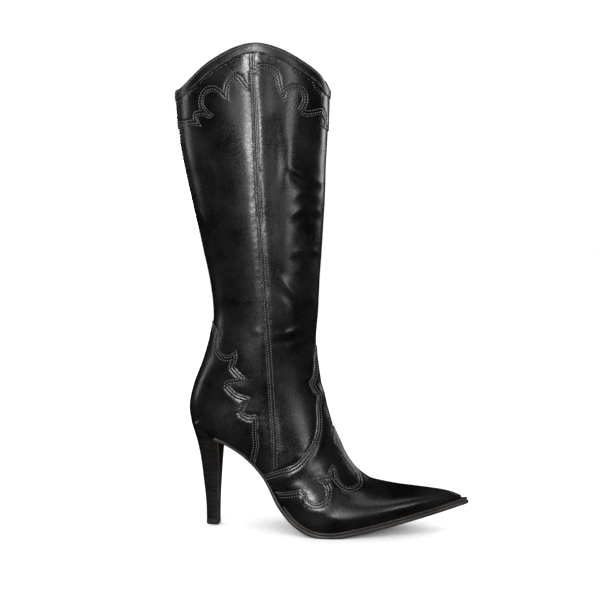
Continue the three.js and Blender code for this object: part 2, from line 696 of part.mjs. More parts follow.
function breastSolid() {
  return loftSolid(HEEL_HEIGHTS.map((z) => {
    const near = profile(heelBreastLine, z) + GAP;
    const half = profile(heelHalfWidths, z) - 0.5;
    const corner = (x, y) => new THREE.Vector3(x, y, z);
    const far = near + BREAST_COVER;
    return [corner(near, -half), corner(near, half), corner(far, half), corner(far, -half)];
  }));
}

// Everything under the heel seat, which follows the sole line.
function underSeat() {
  const seat = soleStations.filter(({ t }) => t <= BREAK + 5).map(({ place, up }) => place.clone().addScaledVector(up, -GAP));
  seat.unshift(new THREE.Vector2(-40, seat[0].y + 4));
  return regionSolid(seat, [[60, -20], [-40, -20]]);
}

// Nails and a screw that hold the heel: [name, x, y, radius, depth below the seat].
const HEEL_FIXINGS = [
  ['heel_screw', -1, 0, 1.8, 16],
  ['heel_nail_1', -6, -6, 0.9, 12],
  ['heel_nail_2', -6, 6, 0.9, 12],
  ['heel_nail_3', 4, -8.4, 0.9, 12],
  ['heel_nail_4', 4, 8.4, 0.9, 12],
];

function seatHeight(x) {
  let t = BREAK;
  while (backPoint(t).x < x) {
    t += 0.02;
  }
  return backPoint(t).y;
}

function upright(radius, low, high, x, y, sides = 8) {
  const cylinder = new THREE.CylinderGeometry(radius, radius, high - low, sides);
  cylinder.rotateX(Math.PI / 2);
  cylinder.translate(x, y, (low + high) / 2);
  return toSolid(cylinder);
}

const heelFixings = HEEL_FIXINGS.map(([name, x, y, radius, depth]) => {
  const seat = seatHeight(x);
  const head = seat + BOARD_HIGH - 0.2;
  return {
    name,
    pin: upright(radius, seat - depth, head, x, y),
    hole: upright(radius + 0.35, seat - depth - GAP, head + 12, x, y),
  };
});

const DOWEL = { x: -0.4, outer: 2.2, inner: 1.6, low: 8, high: 70 };
const PIN_RADIUS = 1.2;

function addHeel() {
  const below = underSeat();
  const dowelHole = upright(DOWEL.outer + GAP, 0, DOWEL.high + GAP, DOWEL.x, 0, 12);
  let core = heelSolid(HEEL_COVER + GAP, 0).intersect(below).subtract(dowelHole);
  heelFixings.forEach(({ hole }) => {
    core = core.subtract(hole);
  });
  addPiece('heel_core', mainBody(core), HEEL_PLASTIC);
  const wrapped = heelSolid(0, 0).subtract(heelSolid(HEEL_COVER, 4)).intersect(below);
  addPiece('heel_stack_cover', mainBody(wrapped), STACKED_LEATHER);
  addPiece('breast_cover', mainBody(breastSolid().intersect(breastRoom())), SOLE_LEATHER);
  heelFixings.forEach(({ name, pin }) => addPiece(name, pin, STEEL));
  const dowel = upright(DOWEL.outer, DOWEL.low, DOWEL.high, DOWEL.x, 0, 12)
    .subtract(upright(DOWEL.inner, DOWEL.low - 1, DOWEL.high + 1, DOWEL.x, 0, 12));
  addPiece('heel_dowel', dowel, STEEL);
}

// The breast cover stops under the outsole's rear end.
function breastRoom() {
  const top = seatHeight(BREAST_X) - OUTSOLE_WAIST - 3 * GAP;
  return sideSolid([[-20, 0], [30, 0], [30, top - 9], [-20, top + 12]].map(point2));
}

function addTopLift() {
  const lift = heelSolid(0, GAP + BREAST_COVER, [0, LIFT_HEIGHT]);
  const hole = upright(PIN_RADIUS + GAP, 1.5, 20, DOWEL.x, 0);
  addPiece('top_lift', lift.subtract(hole), LIFT_RUBBER);
  addPiece('top_lift_pin', upright(PIN_RADIUS, 1.8, 22, DOWEL.x, 0), STEEL);
}

// ---- Zip -------------------------------------------------------------------

// The zip's own frame: X ahead across the zip, Y out of the leg, Z up along it.
function zipFrame(z) {
  const up = zipPoint(ZIP_TOP).sub(zipPoint(ZIP_BOTTOM)).normalize();
  const out = new THREE.Vector3(0, 1, 0).addScaledVector(up, -up.y).normalize();
  const ahead = out.clone().cross(up);
  return new THREE.Matrix4().makeBasis(ahead, out, up).setPosition(zipPoint(z));
}

function block(width, thickness, height, x, y, z) {
  return toSolid(new THREE.BoxGeometry(width, thickness, height).translate(x, y, z));
}

const COIL_OUT = 0.9; // the coil's face above the line of the leather
const COIL_IN = COIL_OUT - COIL_THICKNESS;

function addZipFixedPieces() {
  const strip = layer(STIFFENER_DEPTH, STIFFENER_DEPTH + 0.7);
  const low = ZIP_BOTTOM;
  addPiece('zip_tape_front', mainBody(strip.intersect(zipStrip(GAP / 2, 13, low, ZIP_TOP))), ZIP_TAPE);
  addPiece('zip_tape_back', mainBody(strip.intersect(zipStrip(-13, -GAP / 2, low, ZIP_TOP))), ZIP_TAPE);
  const guard = layer(INSIDE_DEPTH + GAP, INSIDE_DEPTH + GAP + 1);
  addPiece('zip_guard', mainBody(guard.intersect(zipStrip(-14, 9, low, 418))), LINING_LEATHER);

  const frame = zipFrame(ZIP_TOP);
  const stop = 3.5;
  const length = zipPoint(ZIP_TOP).distanceTo(zipPoint(ZIP_BOTTOM)) - 2 * stop - 4;
  const middleY = (COIL_OUT + COIL_IN) / 2;
  const offset = (COIL_WIDTH + GAP) / 2;
  for (const [name, side] of [['front', 1], ['back', -1]]) {
    const coil = block(COIL_WIDTH, COIL_THICKNESS, length, side * offset, middleY, -stop - GAP - 2 - length / 2);
    addPiece(`zip_coil_${name}`, coil, ZIP_NYLON, frame);
    const topStop = block(COIL_WIDTH, COIL_THICKNESS + 0.4, stop, side * offset, middleY, -stop / 2 - 2);
    addPiece(`zip_top_stop_${name}`, topStop, ZIP_METAL, frame);
  }
  const bottomStop = block(2 * COIL_WIDTH + 1, COIL_THICKNESS, stop, 0, middleY, -stop * 1.5 - 2 * GAP - 2 - length);
  addPiece('zip_bottom_stop', bottomStop, ZIP_METAL, frame);
}

const SLIDER = { width: 8.2, height: 9, plate: 1.1, flange: 0.9, reach: 1.4 };
const SLIDER_Z = ZIP_TOP - 12;
const HINGE_OUT = COIL_OUT + GAP + SLIDER.plate + 1.9;
const HINGE_UP = 2.4;
const TAB = 1; // thickness of the pull

// A pin across the slider, between two small ears.
function sliderSolid() {
  const face = COIL_OUT + GAP;
  let slider = block(SLIDER.width, SLIDER.plate, SLIDER.height, 0, face + SLIDER.plate / 2, 0);
  for (const side of [-1, 1]) {
    const x = (side * (SLIDER.width - SLIDER.flange)) / 2;
    const flange = block(SLIDER.flange, SLIDER.reach + 0.2, SLIDER.height, x, face - SLIDER.reach / 2 + 0.1, 0);
    const ear = block(0.9, 2.8, 2.4, side * 2.5, face + SLIDER.plate + 1.2, HINGE_UP);
    slider = slider.add(flange).add(ear);
  }
  const pin = new THREE.CylinderGeometry(0.6, 0.6, 5.2, 10).rotateZ(Math.PI / 2).translate(0, HINGE_OUT, HINGE_UP);
  return slider.add(toSolid(pin));
}

// The pull hangs plumb from the pin by an eye. Its frame's origin is the pin's centre.
function pullSolid() {
  const eye = new THREE.Shape();
  eye.absarc(0, 0, 1.5, 0, Math.PI * 2);
  const bore = new THREE.Path();
  bore.absarc(0, 0, 0.9, 0, Math.PI * 2, true);
  eye.holes.push(bore);
  const eyeSolid = new THREE.ExtrudeGeometry(eye, { depth: 3.4, bevelEnabled: false, curveSegments: 12 });
  eyeSolid.translate(0, 0, -1.7);
  eyeSolid.rotateY(Math.PI / 2);
  const tab = new THREE.Shape();
  tab.moveTo(-1.7, -1.2);
  tab.lineTo(1.7, -1.2);
  tab.lineTo(3.2, -18);
  tab.absarc(0, -20, 3.8, 0.55, Math.PI - 0.55, true);
  tab.lineTo(-3.2, -18);
  const tabSolid = new THREE.ExtrudeGeometry(tab, { depth: TAB, bevelEnabled: false, curveSegments: 10 });
  tabSolid.rotateX(Math.PI / 2);
  tabSolid.translate(0, TAB / 2, 0);
  return toSolid(eyeSolid).add(toSolid(tabSolid));
}

function addZipSlider() {
  const frame = zipFrame(SLIDER_Z);
  addPiece('zip_slider', sliderSolid(), ZIP_METAL, frame);
  const hinge = new THREE.Vector3(0, HINGE_OUT, HINGE_UP).applyMatrix4(frame);
  const across = new THREE.Vector3().setFromMatrixColumn(frame, 0);
  const plumb = new THREE.Vector3(0, 0, 1).addScaledVector(across, -across.z).normalize();
  const out = plumb.clone().cross(across);
  addPiece('zip_pull', pullSolid(), ZIP_METAL, new THREE.Matrix4().makeBasis(across, out, plumb).setPosition(hinge));
}

addUpper();
addCollars();
addBinding();
addLinings();
addStiffeners();
addSole();
addInsole();
addShank();
addHeel();
addTopLift();
addZipFixedPieces();
addZipSlider();

export default boot;
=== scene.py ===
"""Looks of a knee-high western boot with a slim high heel and a zip down its inner side.

Lengths are millimetres in the boot's own frame, unless a name says otherwise: X towards
the toe, -Y the outer side of the leg, Z up, origin at the centre of the heel's tread.
Points become metres where a mesh is made.
"""
import math

import bpy
import numpy as np
from bpy.props import FloatProperty, PointerProperty, StringProperty
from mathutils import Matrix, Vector, noise
from mathutils.geometry import delaunay_2d_cdt
from mathutils.kdtree import KDTree


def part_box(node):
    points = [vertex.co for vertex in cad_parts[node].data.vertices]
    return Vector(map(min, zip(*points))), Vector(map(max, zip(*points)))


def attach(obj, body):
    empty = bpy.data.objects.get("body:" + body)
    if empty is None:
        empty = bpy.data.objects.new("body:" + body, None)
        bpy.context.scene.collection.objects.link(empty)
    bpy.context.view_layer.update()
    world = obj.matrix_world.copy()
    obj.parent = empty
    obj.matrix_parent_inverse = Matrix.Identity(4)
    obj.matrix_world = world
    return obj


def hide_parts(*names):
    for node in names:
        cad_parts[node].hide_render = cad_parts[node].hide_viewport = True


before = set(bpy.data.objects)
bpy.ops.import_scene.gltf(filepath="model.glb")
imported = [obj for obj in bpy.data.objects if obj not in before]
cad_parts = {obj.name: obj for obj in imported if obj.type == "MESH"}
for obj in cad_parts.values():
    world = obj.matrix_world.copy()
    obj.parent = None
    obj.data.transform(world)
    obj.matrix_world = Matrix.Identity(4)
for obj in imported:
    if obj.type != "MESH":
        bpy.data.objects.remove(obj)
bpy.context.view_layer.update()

bl_info = {
    "name": "Western Boot",
    "version": (1, 0, 0),
    "blender": (4, 5, 0),
    "location": "3D View > Sidebar > Boot",
    "description": "Makes the leather, sole, heel and zip of a high-heeled western boot",
    "category": "Add Mesh",
}

MM = 0.001


# ---- The surface of the boot -------------------------------------------------

# Sections of the leg, from its top down to the back of the heel seat. Each runs from the
# back line to the front line: back x, back z, front x, front z.
LEG = np.array([
    (-32, 462, 113.5, 462),
    (-32, 412, 112.5, 412),
    (-28, 364, 110.5, 366),
    (-19, 319, 109, 322),
    (-8.5, 274, 106.5, 279),
    (0, 234, 104, 241),
    (3, 203, 102.5, 212),
    (-1.5, 181, 101.5, 195),
    (-8, 159, 100.5, 180),
    (-16, 138, 101, 167),
    (-20.5, 117, 102.5, 155),
], float)

# Sections of the foot, from the back of the heel seat to the toe: sole x, sole z, top x,
# top z, half width of the flat sole, widest half width.
FOOT = np.array([
    (-18.5, 101, 104.5, 144.5, 0, 33.6),
    (-15, 98.5, 106.5, 136.5, 14, 33.5),
    (-7, 95, 109, 127.5, 22, 33.3),
    (6, 90.5, 111.5, 117.5, 26.3, 33),
    (20, 84.5, 114.5, 107, 26.5, 32.7),
    (33, 76, 117.5, 96.5, 24.5, 32.5),
    (44.5, 65.5, 122.5, 86, 22.5, 32.5),
    (54.5, 53.5, 127, 75.5, 21.8, 33),
    (64, 40.5, 132.5, 66, 23, 34.2),
    (74, 27, 140.5, 56.5, 27, 36.4),
    (86, 15, 151.5, 49.5, 32.5, 38.6),
    (101, 7.4, 165, 46.4, 36.5, 39.6),
    (119, 5.6, 179, 44.2, 37.5, 38.6),
    (140, 9, 194, 42.6, 33.8, 34.4),
    (163, 13.5, 208, 41.2, 27.5, 28),
    (187, 19, 219, 39.9, 20, 20.6),
    (209, 24.3, 227.5, 38.2, 12.6, 13),
    (226, 28.6, 233.6, 36.2, 6.6, 7),
    (235.5, 31, 237, 34.4, 2.4, 3),
], float)

BREAK = len(LEG)  # the section at the back of the heel seat
LAST = BREAK + len(FOOT) - 1
TIP = LAST + 0.95  # past the last section the skin closes in a small dome
TIP_BULGE = 1.6
LEG_BACKS = np.vstack([LEG[:, :2], FOOT[:1, :2]])
FRONTS = np.vstack([LEG[:, 2:], FOOT[:, 2:4]])
ROUNDNESS = 2.15  # exponent of the section's rear half on the leg
SEAT_SQUARENESS = 0.6  # what the exponent gains at the heel seat
LEG_CREST = 0.54  # where the leg is widest, as a part of the way from back to front
CREST_DROP = 0.24  # and how much lower that is on the foot
ANKLE_HALF_WIDTH = 33.0
ANKLE_HEIGHT = 115.0
LEG_FLARE = 0.0494  # half width gained per millimetre of height
TOE_SWING = 4.0  # the toe points a little inwards
BALL_X, BALL_TO_TOE = 105, 132
OUTER, INNER = -1, 1  # the two sides of the boot, as signs of y

# Edges of the leather pieces, seen from the side as x, z. Each run is one smooth stretch,
# and runs meet at corners.
TOPLINE = [
    [(-60, 410), (-26, 412), (-13, 418.5), (5.5, 432), (28, 443.5), (43, 447.7), (56, 448.2),
     (76, 442.5), (96.5, 431), (108, 421.5), (113, 413), (140, 410)],
]
SIDE_SEAM = [
    [(45, 480), (46.5, 406), (49.5, 316), (54, 236), (57.5, 175), (60.5, 115), (62.5, 88), (63, 20)],
]
COLLAR_BACK_EDGE = [
    [(-60, 376), (-13, 378), (0, 376.5)],
    [(0, 376.5), (-4, 385.5)],
    [(-4, 385.5), (2, 386), (8, 383.5), (12.5, 386.5)],
    [(12.5, 386.5), (5, 393), (2.7, 398), (5, 404), (9.5, 407), (14, 406.5), (18.5, 403),
     (23, 399), (28.5, 396.5)],
    [(28.5, 396.5), (27.5, 403), (28.5, 410), (31.5, 414.5), (34.5, 416.5)],
    [(34.5, 416.5), (38, 412), (42, 407.5), (50, 403.5)],
]
COLLAR_FRONT_EDGE = [
    [(44, 414), (49.5, 419.5), (53.5, 423.5), (58, 424.8), (63, 423.8), (67, 420.5),
     (69.5, 410), (72, 402.5), (78, 394.5)],
    [(78, 394.5), (79, 401.5), (81.5, 406), (85, 407.2), (89, 406.3), (91.3, 402.5),
     (90.5, 397), (87.5, 392)],
    [(87.5, 392), (89.5, 388), (94, 385), (100, 385.8), (107, 388.5)],
    [(107, 388.5), (109.5, 383), (111, 375), (140, 372)],
]
COUNTER_EDGE = [
    [(-60, 199), (-4, 199), (4, 195), (14.5, 188.5)],
    [(14.5, 188.5), (13, 182), (12.3, 175), (15, 170), (20, 167.6), (25.5, 169), (31, 173)],
    [(31, 173), (31.5, 165), (29, 157)],
    [(29, 157), (34, 152), (40.5, 146)],
    [(40.5, 146), (35, 141.5), (24, 139.5)],
    [(24, 139.5), (31, 133), (43.5, 129)],
    [(43.5, 129), (40, 121), (37, 115)],
    [(37, 115), (42, 112.3), (48.5, 113), (50.5, 108), (50.5, 95), (51, 83), (49, 74),
     (46, 62), (44, 40)],
]
INSTEP_EDGE = [
    [(40, 46), (54, 55), (67, 60.5), (78, 64.5), (87, 69.5), (96, 80.5), (101.5, 91),
     (103.3, 104), (102.5, 119), (103.5, 127)],
    [(103.5, 127), (99.5, 132.5), (95.8, 141)],
    [(95.8, 141), (99, 147.5), (99.8, 157), (100, 168), (104, 180), (130, 190)],
]
VAMP_EDGE = [
    [(50, 33), (62, 38.5), (75, 41.2), (84, 43), (90.5, 45)],
    [(90.5, 45), (96, 41), (97.5, 36), (101.5, 33.2), (107, 33), (112, 35.5), (113.3, 41),
     (111.5, 47), (106.5, 51), (100.3, 54.7)],
    [(100.3, 54.7), (108, 57.3), (114.6, 57)],
    [(114.6, 57), (115, 61), (117.8, 65.5)],
    [(117.8, 65.5), (121.5, 60), (123, 54), (127.5, 48.8), (133, 45.8), (138, 46.2),
     (140.8, 49.5), (139.5, 54.5)],
    [(139.5, 54.5), (131, 65), (125, 75), (119.5, 83)],
    [(119.5, 83), (118, 92), (121, 102), (160, 108)],
]
VAMP_LINING_EDGE = [[(50, 30), (50, 66), (57, 84), (85, 104), (140, 135)]]
HEEL_LINING_EDGE = [[(-60, 160), (10, 160), (38, 142), (54, 112), (57, 84)]]


def spline(rows, s):
    """A smooth curve through the rows, with s counting rows."""
    last = len(rows) - 1
    s = np.clip(np.asarray(s, float), 0, last)
    i = np.minimum(s.astype(int), last - 1)
    f = (s - i)[..., None]
    before, start, end, after = (rows[np.clip(i + k, 0, last)] for k in (-1, 0, 1, 2))
    leave, arrive = (end - before) / 2, (after - start) / 2
    cubic = 2 * start - 2 * end + leave + arrive
    square = 3 * end - 3 * start - 2 * leave - arrive
    return ((cubic * f + square) * f + leave) * f + start


def smooth(x, low, high):
    """0 below low, 1 above high, and a soft step between."""
    x = np.clip((np.asarray(x, float) - low) / (high - low), 0, 1)
    return x * x * (3 - 2 * x)


def unit(vectors):
    """The same directions at length one."""
    return vectors / np.maximum(np.linalg.norm(vectors, axis=-1, keepdims=True), 1e-9)


def section(t):
    """Back point, front point, crest, flat and widest half widths and front exponent."""
    on_leg = t <= BREAK
    back = np.where(on_leg[..., None], spline(LEG_BACKS, t), spline(FOOT[:, :2], t - BREAK))
    front = spline(FRONTS, t)
    crest = LEG_CREST - CREST_DROP * smooth(t, 8, BREAK + 9)
    widths = spline(FOOT[:, 4:], t - BREAK)
    flat = np.where(on_leg, 0, np.maximum(widths[..., 0], 0))
    crest_height = back[..., 1] + crest * (front - back)[..., 1]
    leg_wide = ANKLE_HALF_WIDTH + (crest_height - ANKLE_HEIGHT) * LEG_FLARE
    foot_wide = np.maximum(widths[..., 1], flat)
    wide = leg_wide + (foot_wide - leg_wide) * smooth(t, BREAK - 1.5, BREAK + 0.5)
    power = ROUNDNESS - 0.45 * np.clip((t - 5) / 16, 0, 1)
    return back, front, crest, flat, np.maximum(wide, flat), power


def back_power(t):
    """Exponent of the section's rear half: the counter grows squarer towards the seat."""
    return ROUNDNESS + SEAT_SQUARENESS * smooth(t, BREAK - 4, BREAK) * (1 - smooth(t, BREAK, BREAK + 1.4))


def toe_swing(x):
    """How far inwards the sole's middle line lies: from the ball on it bends to the toe."""
    return TOE_SWING * np.clip((x - BALL_X) / BALL_TO_TOE, 0, 1) ** 2


def skin(t, angle, side):
    """Points of the leather's outer face: angle 0 is the back or sole line, pi the front."""
    t, angle = np.asarray(t, float), np.asarray(angle, float)
    back, front, crest, flat, wide, power = section(t)
    cosine, sine = np.abs(np.cos(angle)), np.clip(np.sin(angle), 0, 1)
    rear = angle <= math.pi / 2
    behind = back_power(t)
    along = np.where(rear, crest * (1 - cosine ** (2 / behind)),
                     crest + (1 - crest) * cosine ** (2 / power))
    out = np.where(rear, flat + (wide - flat) * sine ** (2 / behind),
                   wide * sine ** (2 / power))
    swing = toe_swing(back[..., 0])
    place = back + (front - back) * along[..., None]
    points = np.stack([place[..., 0], side * out + swing, place[..., 1]], -1)
    middle = (back + front) / 2
    centre = np.stack([middle[..., 0], swing, middle[..., 1]], -1)
    over = (np.clip(t - LAST, 0, 1) * math.pi / 2)[..., None]
    return centre + (points - centre) * np.cos(over) + np.array([TIP_BULGE, 0, 0]) * np.sin(over)


STEP = 1e-3


def slopes(t, angle, side):
    """How the skin moves per unit of t and of angle."""
    t, angle = np.asarray(t, float), np.asarray(angle, float)
    side = np.broadcast_to(side, t.shape)
    low_t, high_t = np.maximum(t - STEP, 0), np.minimum(t + STEP, TIP)
    by_t = (skin(high_t, angle, side) - skin(low_t, angle, side)) / (high_t - low_t)[..., None]
    low, high = angle - STEP, angle + STEP
    open_sole = t > BREAK
    low = np.where(open_sole, np.maximum(low, 0), low)
    under, over = low < 0, high > math.pi
    before = skin(t, np.abs(low), np.where(under, -side, side))
    after = skin(t, np.where(over, 2 * math.pi - high, high), np.where(over, -side, side))
    return by_t, (after - before) / (high - low)[..., None]


def normals(t, angle, side):
    """The skin's outward direction."""
    by_t, by_angle = slopes(t, angle, side)
    return unit(np.cross(by_angle, by_t) * np.asarray(side)[..., None])


GRID_T = np.linspace(0, TIP, 1801)
GRID_BACK, GRID_FRONT = section(GRID_T)[:2]


def lengths_along(points):
    steps = np.linalg.norm(np.diff(points, axis=0), axis=-1)
    return np.concatenate([[0], np.cumsum(steps)])


# How far down the boot each section lies, and half the way round it there.
DOWN = sum(lengths_along(skin(GRID_T, np.full_like(GRID_T, a), OUTER)) for a in (0, 1.6, 3.1)) / 3
ROUND_ANGLES = np.linspace(0, math.pi, 25)
HALF_GIRTH = np.maximum(1.5, np.array([
    lengths_along(skin(np.full(25, t), ROUND_ANGLES, OUTER))[-1] for t in GRID_T
]))


def locate(xz):
    """The section through each point of the side view, and how far along it the point is."""
    run = GRID_FRONT - GRID_BACK
    rel = xz[:, None, :] - GRID_BACK[None]
    cross = run[:, 0] * rel[..., 1] - run[:, 1] * rel[..., 0]
    along = (rel * run).sum(-1) / (run * run).sum(-1)
    miss = np.maximum(0, np.maximum(-along, along - 1))[:, :-1]
    miss = np.where(cross[:, :-1] * cross[:, 1:] <= 0, miss, 9)
    i = miss.argmin(1)
    row = np.arange(len(xz))
    a, b = cross[row, i], cross[row, i + 1]
    f = np.clip(a / np.where(a == b, 1, a - b), 0, 1)
    t = GRID_T[i] + f * (GRID_T[i + 1] - GRID_T[i])
    return t, along[row, i] + f * (along[row, i + 1] - along[row, i])


def angle_at(t, along):
    crest, power = section(t)[2], section(t)[5]
    rear = np.clip(1 - along / crest, 0, 1) ** (back_power(t) / 2)
    fore = np.clip((along - crest) / (1 - crest), 0, 1) ** (power / 2)
    return np.where(along <= crest, np.arccos(rear), math.pi - np.arccos(fore))


# ---- Creases of the leather ----------------------------------------------------

# Soft folds in the leather: side, points x, z, half width, height (below 0 a valley).
FOLDS = [
    (OUTER, [(76, 342), (93.7, 331.9), (108, 325)], 3.6, 1.0),
    (OUTER, [(80, 335), (94, 325), (108, 319)], 3.6, -0.8),
    (OUTER, [(81.7, 310), (93.6, 317), (106, 310)], 3.6, 0.6),
    (OUTER, [(80, 295), (93.5, 302.5), (107, 299)], 3.2, 0.9),
    (OUTER, [(82, 288), (93.5, 295), (108, 292)], 3.4, -0.9),
    (OUTER, [(84, 262.5), (93.3, 264.8), (104, 262)], 2.8, 0.8),
    (OUTER, [(82, 256), (93, 258), (104, 256)], 3.0, -0.8),
    (OUTER, [(66, 245), (77.7, 231.3), (86.3, 223.5), (102, 219)], 3.2, 1.0),
    (OUTER, [(68, 233), (78, 222), (88, 215), (101, 212)], 3.6, -0.7),
    (OUTER, [(86, 247.5), (101.2, 243.6)], 2.6, 0.6),
    (OUTER, [(22, 221), (32.9, 218), (46, 219.5)], 1.5, 0.5),
    (OUTER, [(20, 217.5), (33, 214.5), (46, 216)], 1.6, -0.4),
    (OUTER, [(46, 192.5), (53, 188)], 1.8, 0.5),
    (OUTER, [(62, 186.5), (76, 188), (86.8, 192.3), (100, 200)], 2.6, 0.7),
    (OUTER, [(62, 180), (78, 182), (90, 186), (100, 193)], 3.0, -0.6),
    (OUTER, [(70, 206), (68, 160), (67.5, 114.5), (69.7, 75)], 3.0, -0.9),
    (OUTER, [(-3, 360), (10.8, 333), (10, 300)], 3.2, 0.6),
    (OUTER, [(-6, 302), (7.4, 282), (10, 270)], 3.2, 0.6),
    (OUTER, [(68, 385), (69, 350), (70, 318)], 4.5, -0.7),
    (OUTER, [(82, 370), (80, 345), (74, 318)], 6.0, 0.7),
    (OUTER, [(74, 84), (80, 78), (88, 70)], 2.2, 0.7),
    (INNER, [(70, 330), (88, 322), (106, 325)], 3.4, 0.9),
    (INNER, [(70, 322), (88, 314), (106, 318)], 3.6, -0.8),
    (INNER, [(68, 262), (86, 255), (104, 259)], 3.0, 0.8),
    (INNER, [(68, 254), (86, 247), (104, 252)], 3.2, -0.8),
    (INNER, [(2, 236), (20, 229), (44, 233)], 2.4, 0.7),
    (INNER, [(2, 230), (20, 223), (44, 227)], 2.6, -0.6),
    (INNER, [(68, 214), (84, 207), (101, 212)], 2.6, 0.9),
    (INNER, [(68, 206), (84, 200), (101, 205)], 2.8, -0.8),
    (INNER, [(4, 196), (24, 192), (46, 199)], 2.2, 0.6),
    (INNER, [(66, 180), (82, 176), (99, 184)], 2.6, 0.8),
    (INNER, [(-2, 352), (14, 330), (16, 300)], 4.0, 0.6),
]
BACK_CREASE_ANGLE = 0.36  # the leg was pressed flat, which leaves a line beside its back
CREASE_WIDTH, CREASE_HEIGHT = 0.055, 0.75  # an angle, and millimetres
DENTS = ((36.0, 0.55), (15.0, 0.16))  # wavelength and depth of the leather's unevenness


def near_line(points, line):
    """Distance to a line in the side view, and the place along it from 0 to 1."""
    best, place = np.full(len(points), 1e9), np.zeros(len(points))
    line = spline(np.array(line, float), np.linspace(0, len(line) - 1, 13))
    for k in range(len(line) - 1):
        run = line[k + 1] - line[k]
        f = np.clip(((points - line[k]) @ run) / (run @ run), 0, 1)
        gap = np.linalg.norm(points - line[k] - f[:, None] * run, axis=1)
        closer = gap < best
        best = np.where(closer, gap, best)
        place = np.where(closer, (k + f) / (len(line) - 1), place)
    return best, place


def relief(points, t, angle, side):
    """How far folds, dents and the pressed crease lift the leather."""
    height = np.zeros(len(points))
    xz = points[:, [0, 2]]
    to_middle = smooth(np.sin(angle), 0.12, 0.45)
    for fold_side, line, width, lift in FOLDS:
        mine = np.flatnonzero(side == fold_side)
        gap, place = near_line(xz[mine], line)
        ends = np.sin(np.clip(place, 0.02, 0.98) * math.pi) ** 0.8
        height[mine] += lift * np.exp(-((gap / width) ** 2)) * ends * to_middle[mine]
    on_leg = 1 - smooth(t, BREAK - 1, BREAK + 6)
    for wavelength, depth in DENTS:
        waves = np.array([noise.noise(Vector(p) / wavelength) for p in points])
        height += depth * waves * (0.35 + 0.65 * on_leg)
    crease = np.exp(-(((angle - BACK_CREASE_ANGLE) / CREASE_WIDTH) ** 2))
    height += CREASE_HEIGHT * crease * (1 - smooth(t, 4.2, 6.2))
    return height


def outer_face(t, angle, side, lift=0.0):
    """Points of the creased outer face, lifted off it, with their normals."""
    points = skin(t, angle, side)
    normal = normals(t, angle, side)
    rise = relief(points, t, angle, side) + lift
    return points + normal * rise[:, None], normal


# ---- Edges laid on the surface ---------------------------------------------------

EDGE_STEP = 0.9  # spacing of an edge's points
FINE = 40  # points per row where an edge is first drawn
PROBE = 0.8  # how far beside an edge its piece is looked for
MOSTLY = 0.2  # part of an edge that has to border the piece


def drawn(runs):
    """The smooth runs of an edge as fine side-view polylines."""
    made = []
    for run in runs:
        run = np.array(run, float)
        made.append(spline(run, np.linspace(0, len(run) - 1, FINE * (len(run) - 1) + 1)))
    return made


def resampled(q, spacing):
    """Points (t, angle) spread evenly on the surface along a polyline."""
    way = lengths_along(skin(q[:, 0], q[:, 1], OUTER))
    count = max(2, int(math.ceil(way[-1] / spacing)) + 1)
    even = np.linspace(0, way[-1], count)
    return np.stack([np.interp(even, way, q[:, 0]), np.interp(even, way, q[:, 1])], -1)


def clipped(run):
    """The stretches of one side-view run that lie on the boot, as (t, angle) polylines."""
    t, along = locate(run)
    inside = (along > 0) & (along < 1)
    stretches, k = [], 0
    while k < len(run):
        if not inside[k]:
            k += 1
            continue
        end = k
        while end + 1 < len(run) and inside[end + 1]:
            end += 1
        q = np.stack([t[k:end + 1], angle_at(t[k:end + 1], along[k:end + 1])], -1)
        for near, far, front in ((k, k - 1, True), (end, end + 1, False)):
            if 0 <= far < len(run) and abs(t[far] - t[near]) < 0.5:
                limit = 0.0 if along[far] <= 0 else 1.0
                f = (limit - along[near]) / (along[far] - along[near])
                met = [[t[near] + f * (t[far] - t[near]), limit * math.pi]]
                q = np.vstack([met, q] if front else [q, met])
        if len(q) > 2:
            stretches.append(q)
        k = end + 1
    return stretches


def trace(runs, spacing=EDGE_STEP):
    """An edge laid on the surface: chains, each a list of smooth (t, angle) pieces."""
    chains = []
    for run in drawn(runs):
        for q in clipped(run):
            piece = resampled(q, spacing)
            joined = chains and np.abs(chains[-1][-1][-1] - piece[0]).max() < 1e-3
            if joined:
                chains[-1].append(piece)
            else:
                chains.append([piece])
    return chains


def with_tangents(chain, side):
    """The chain's points and directions, with a fan of directions at each corner."""
    points, ways = [], []
    for piece in chain:
        place = skin(piece[:, 0], piece[:, 1], side)
        way = unit(np.gradient(place, axis=0))
        if ways:
            for f in np.linspace(0, 1, 9)[1:-1]:
                turn = ways[-1][-1] * (1 - f) + way[0] * f
                points.append(piece[:1])
                ways.append(unit(turn)[None])
        points.append(piece)
        ways.append(way)
    return np.vstack(points), np.vstack(ways)


def moved_over(q, ways, side, distance):
    """Points (t, angle) moved sideways over the surface, at right angles to their ways."""
    q = q.copy()
    for _ in range(3):
        by_t, by_angle = slopes(q[:, 0], np.clip(q[:, 1], 0, math.pi), side)
        normal = unit(np.cross(by_angle, by_t) * side)
        move = np.cross(normal, ways) * (distance / 3)
        tt, ta, aa = (by_t ** 2).sum(1), (by_t * by_angle).sum(1), (by_angle ** 2).sum(1)
        mt, ma = (move * by_t).sum(1), (move * by_angle).sum(1)
        whole = np.maximum(tt * aa - ta * ta, 1e-6)
        q[:, 0] = np.clip(q[:, 0] + (mt * aa - ma * ta) / whole, 0, TIP)
        q[:, 1] += (ma * tt - mt * ta) / whole
    return q


def tree_of(points):
    tree = KDTree(len(points))
    for i, p in enumerate(points):
        tree.insert(p, i)
    tree.balance()
    return tree


def flat_3d(uv):
    """Points of a plane with a third coordinate, as the search tree takes them."""
    return np.column_stack([uv, np.zeros(len(uv))])


def gaps_to(points, tree):
    return np.array([tree.find(p)[2] for p in points])


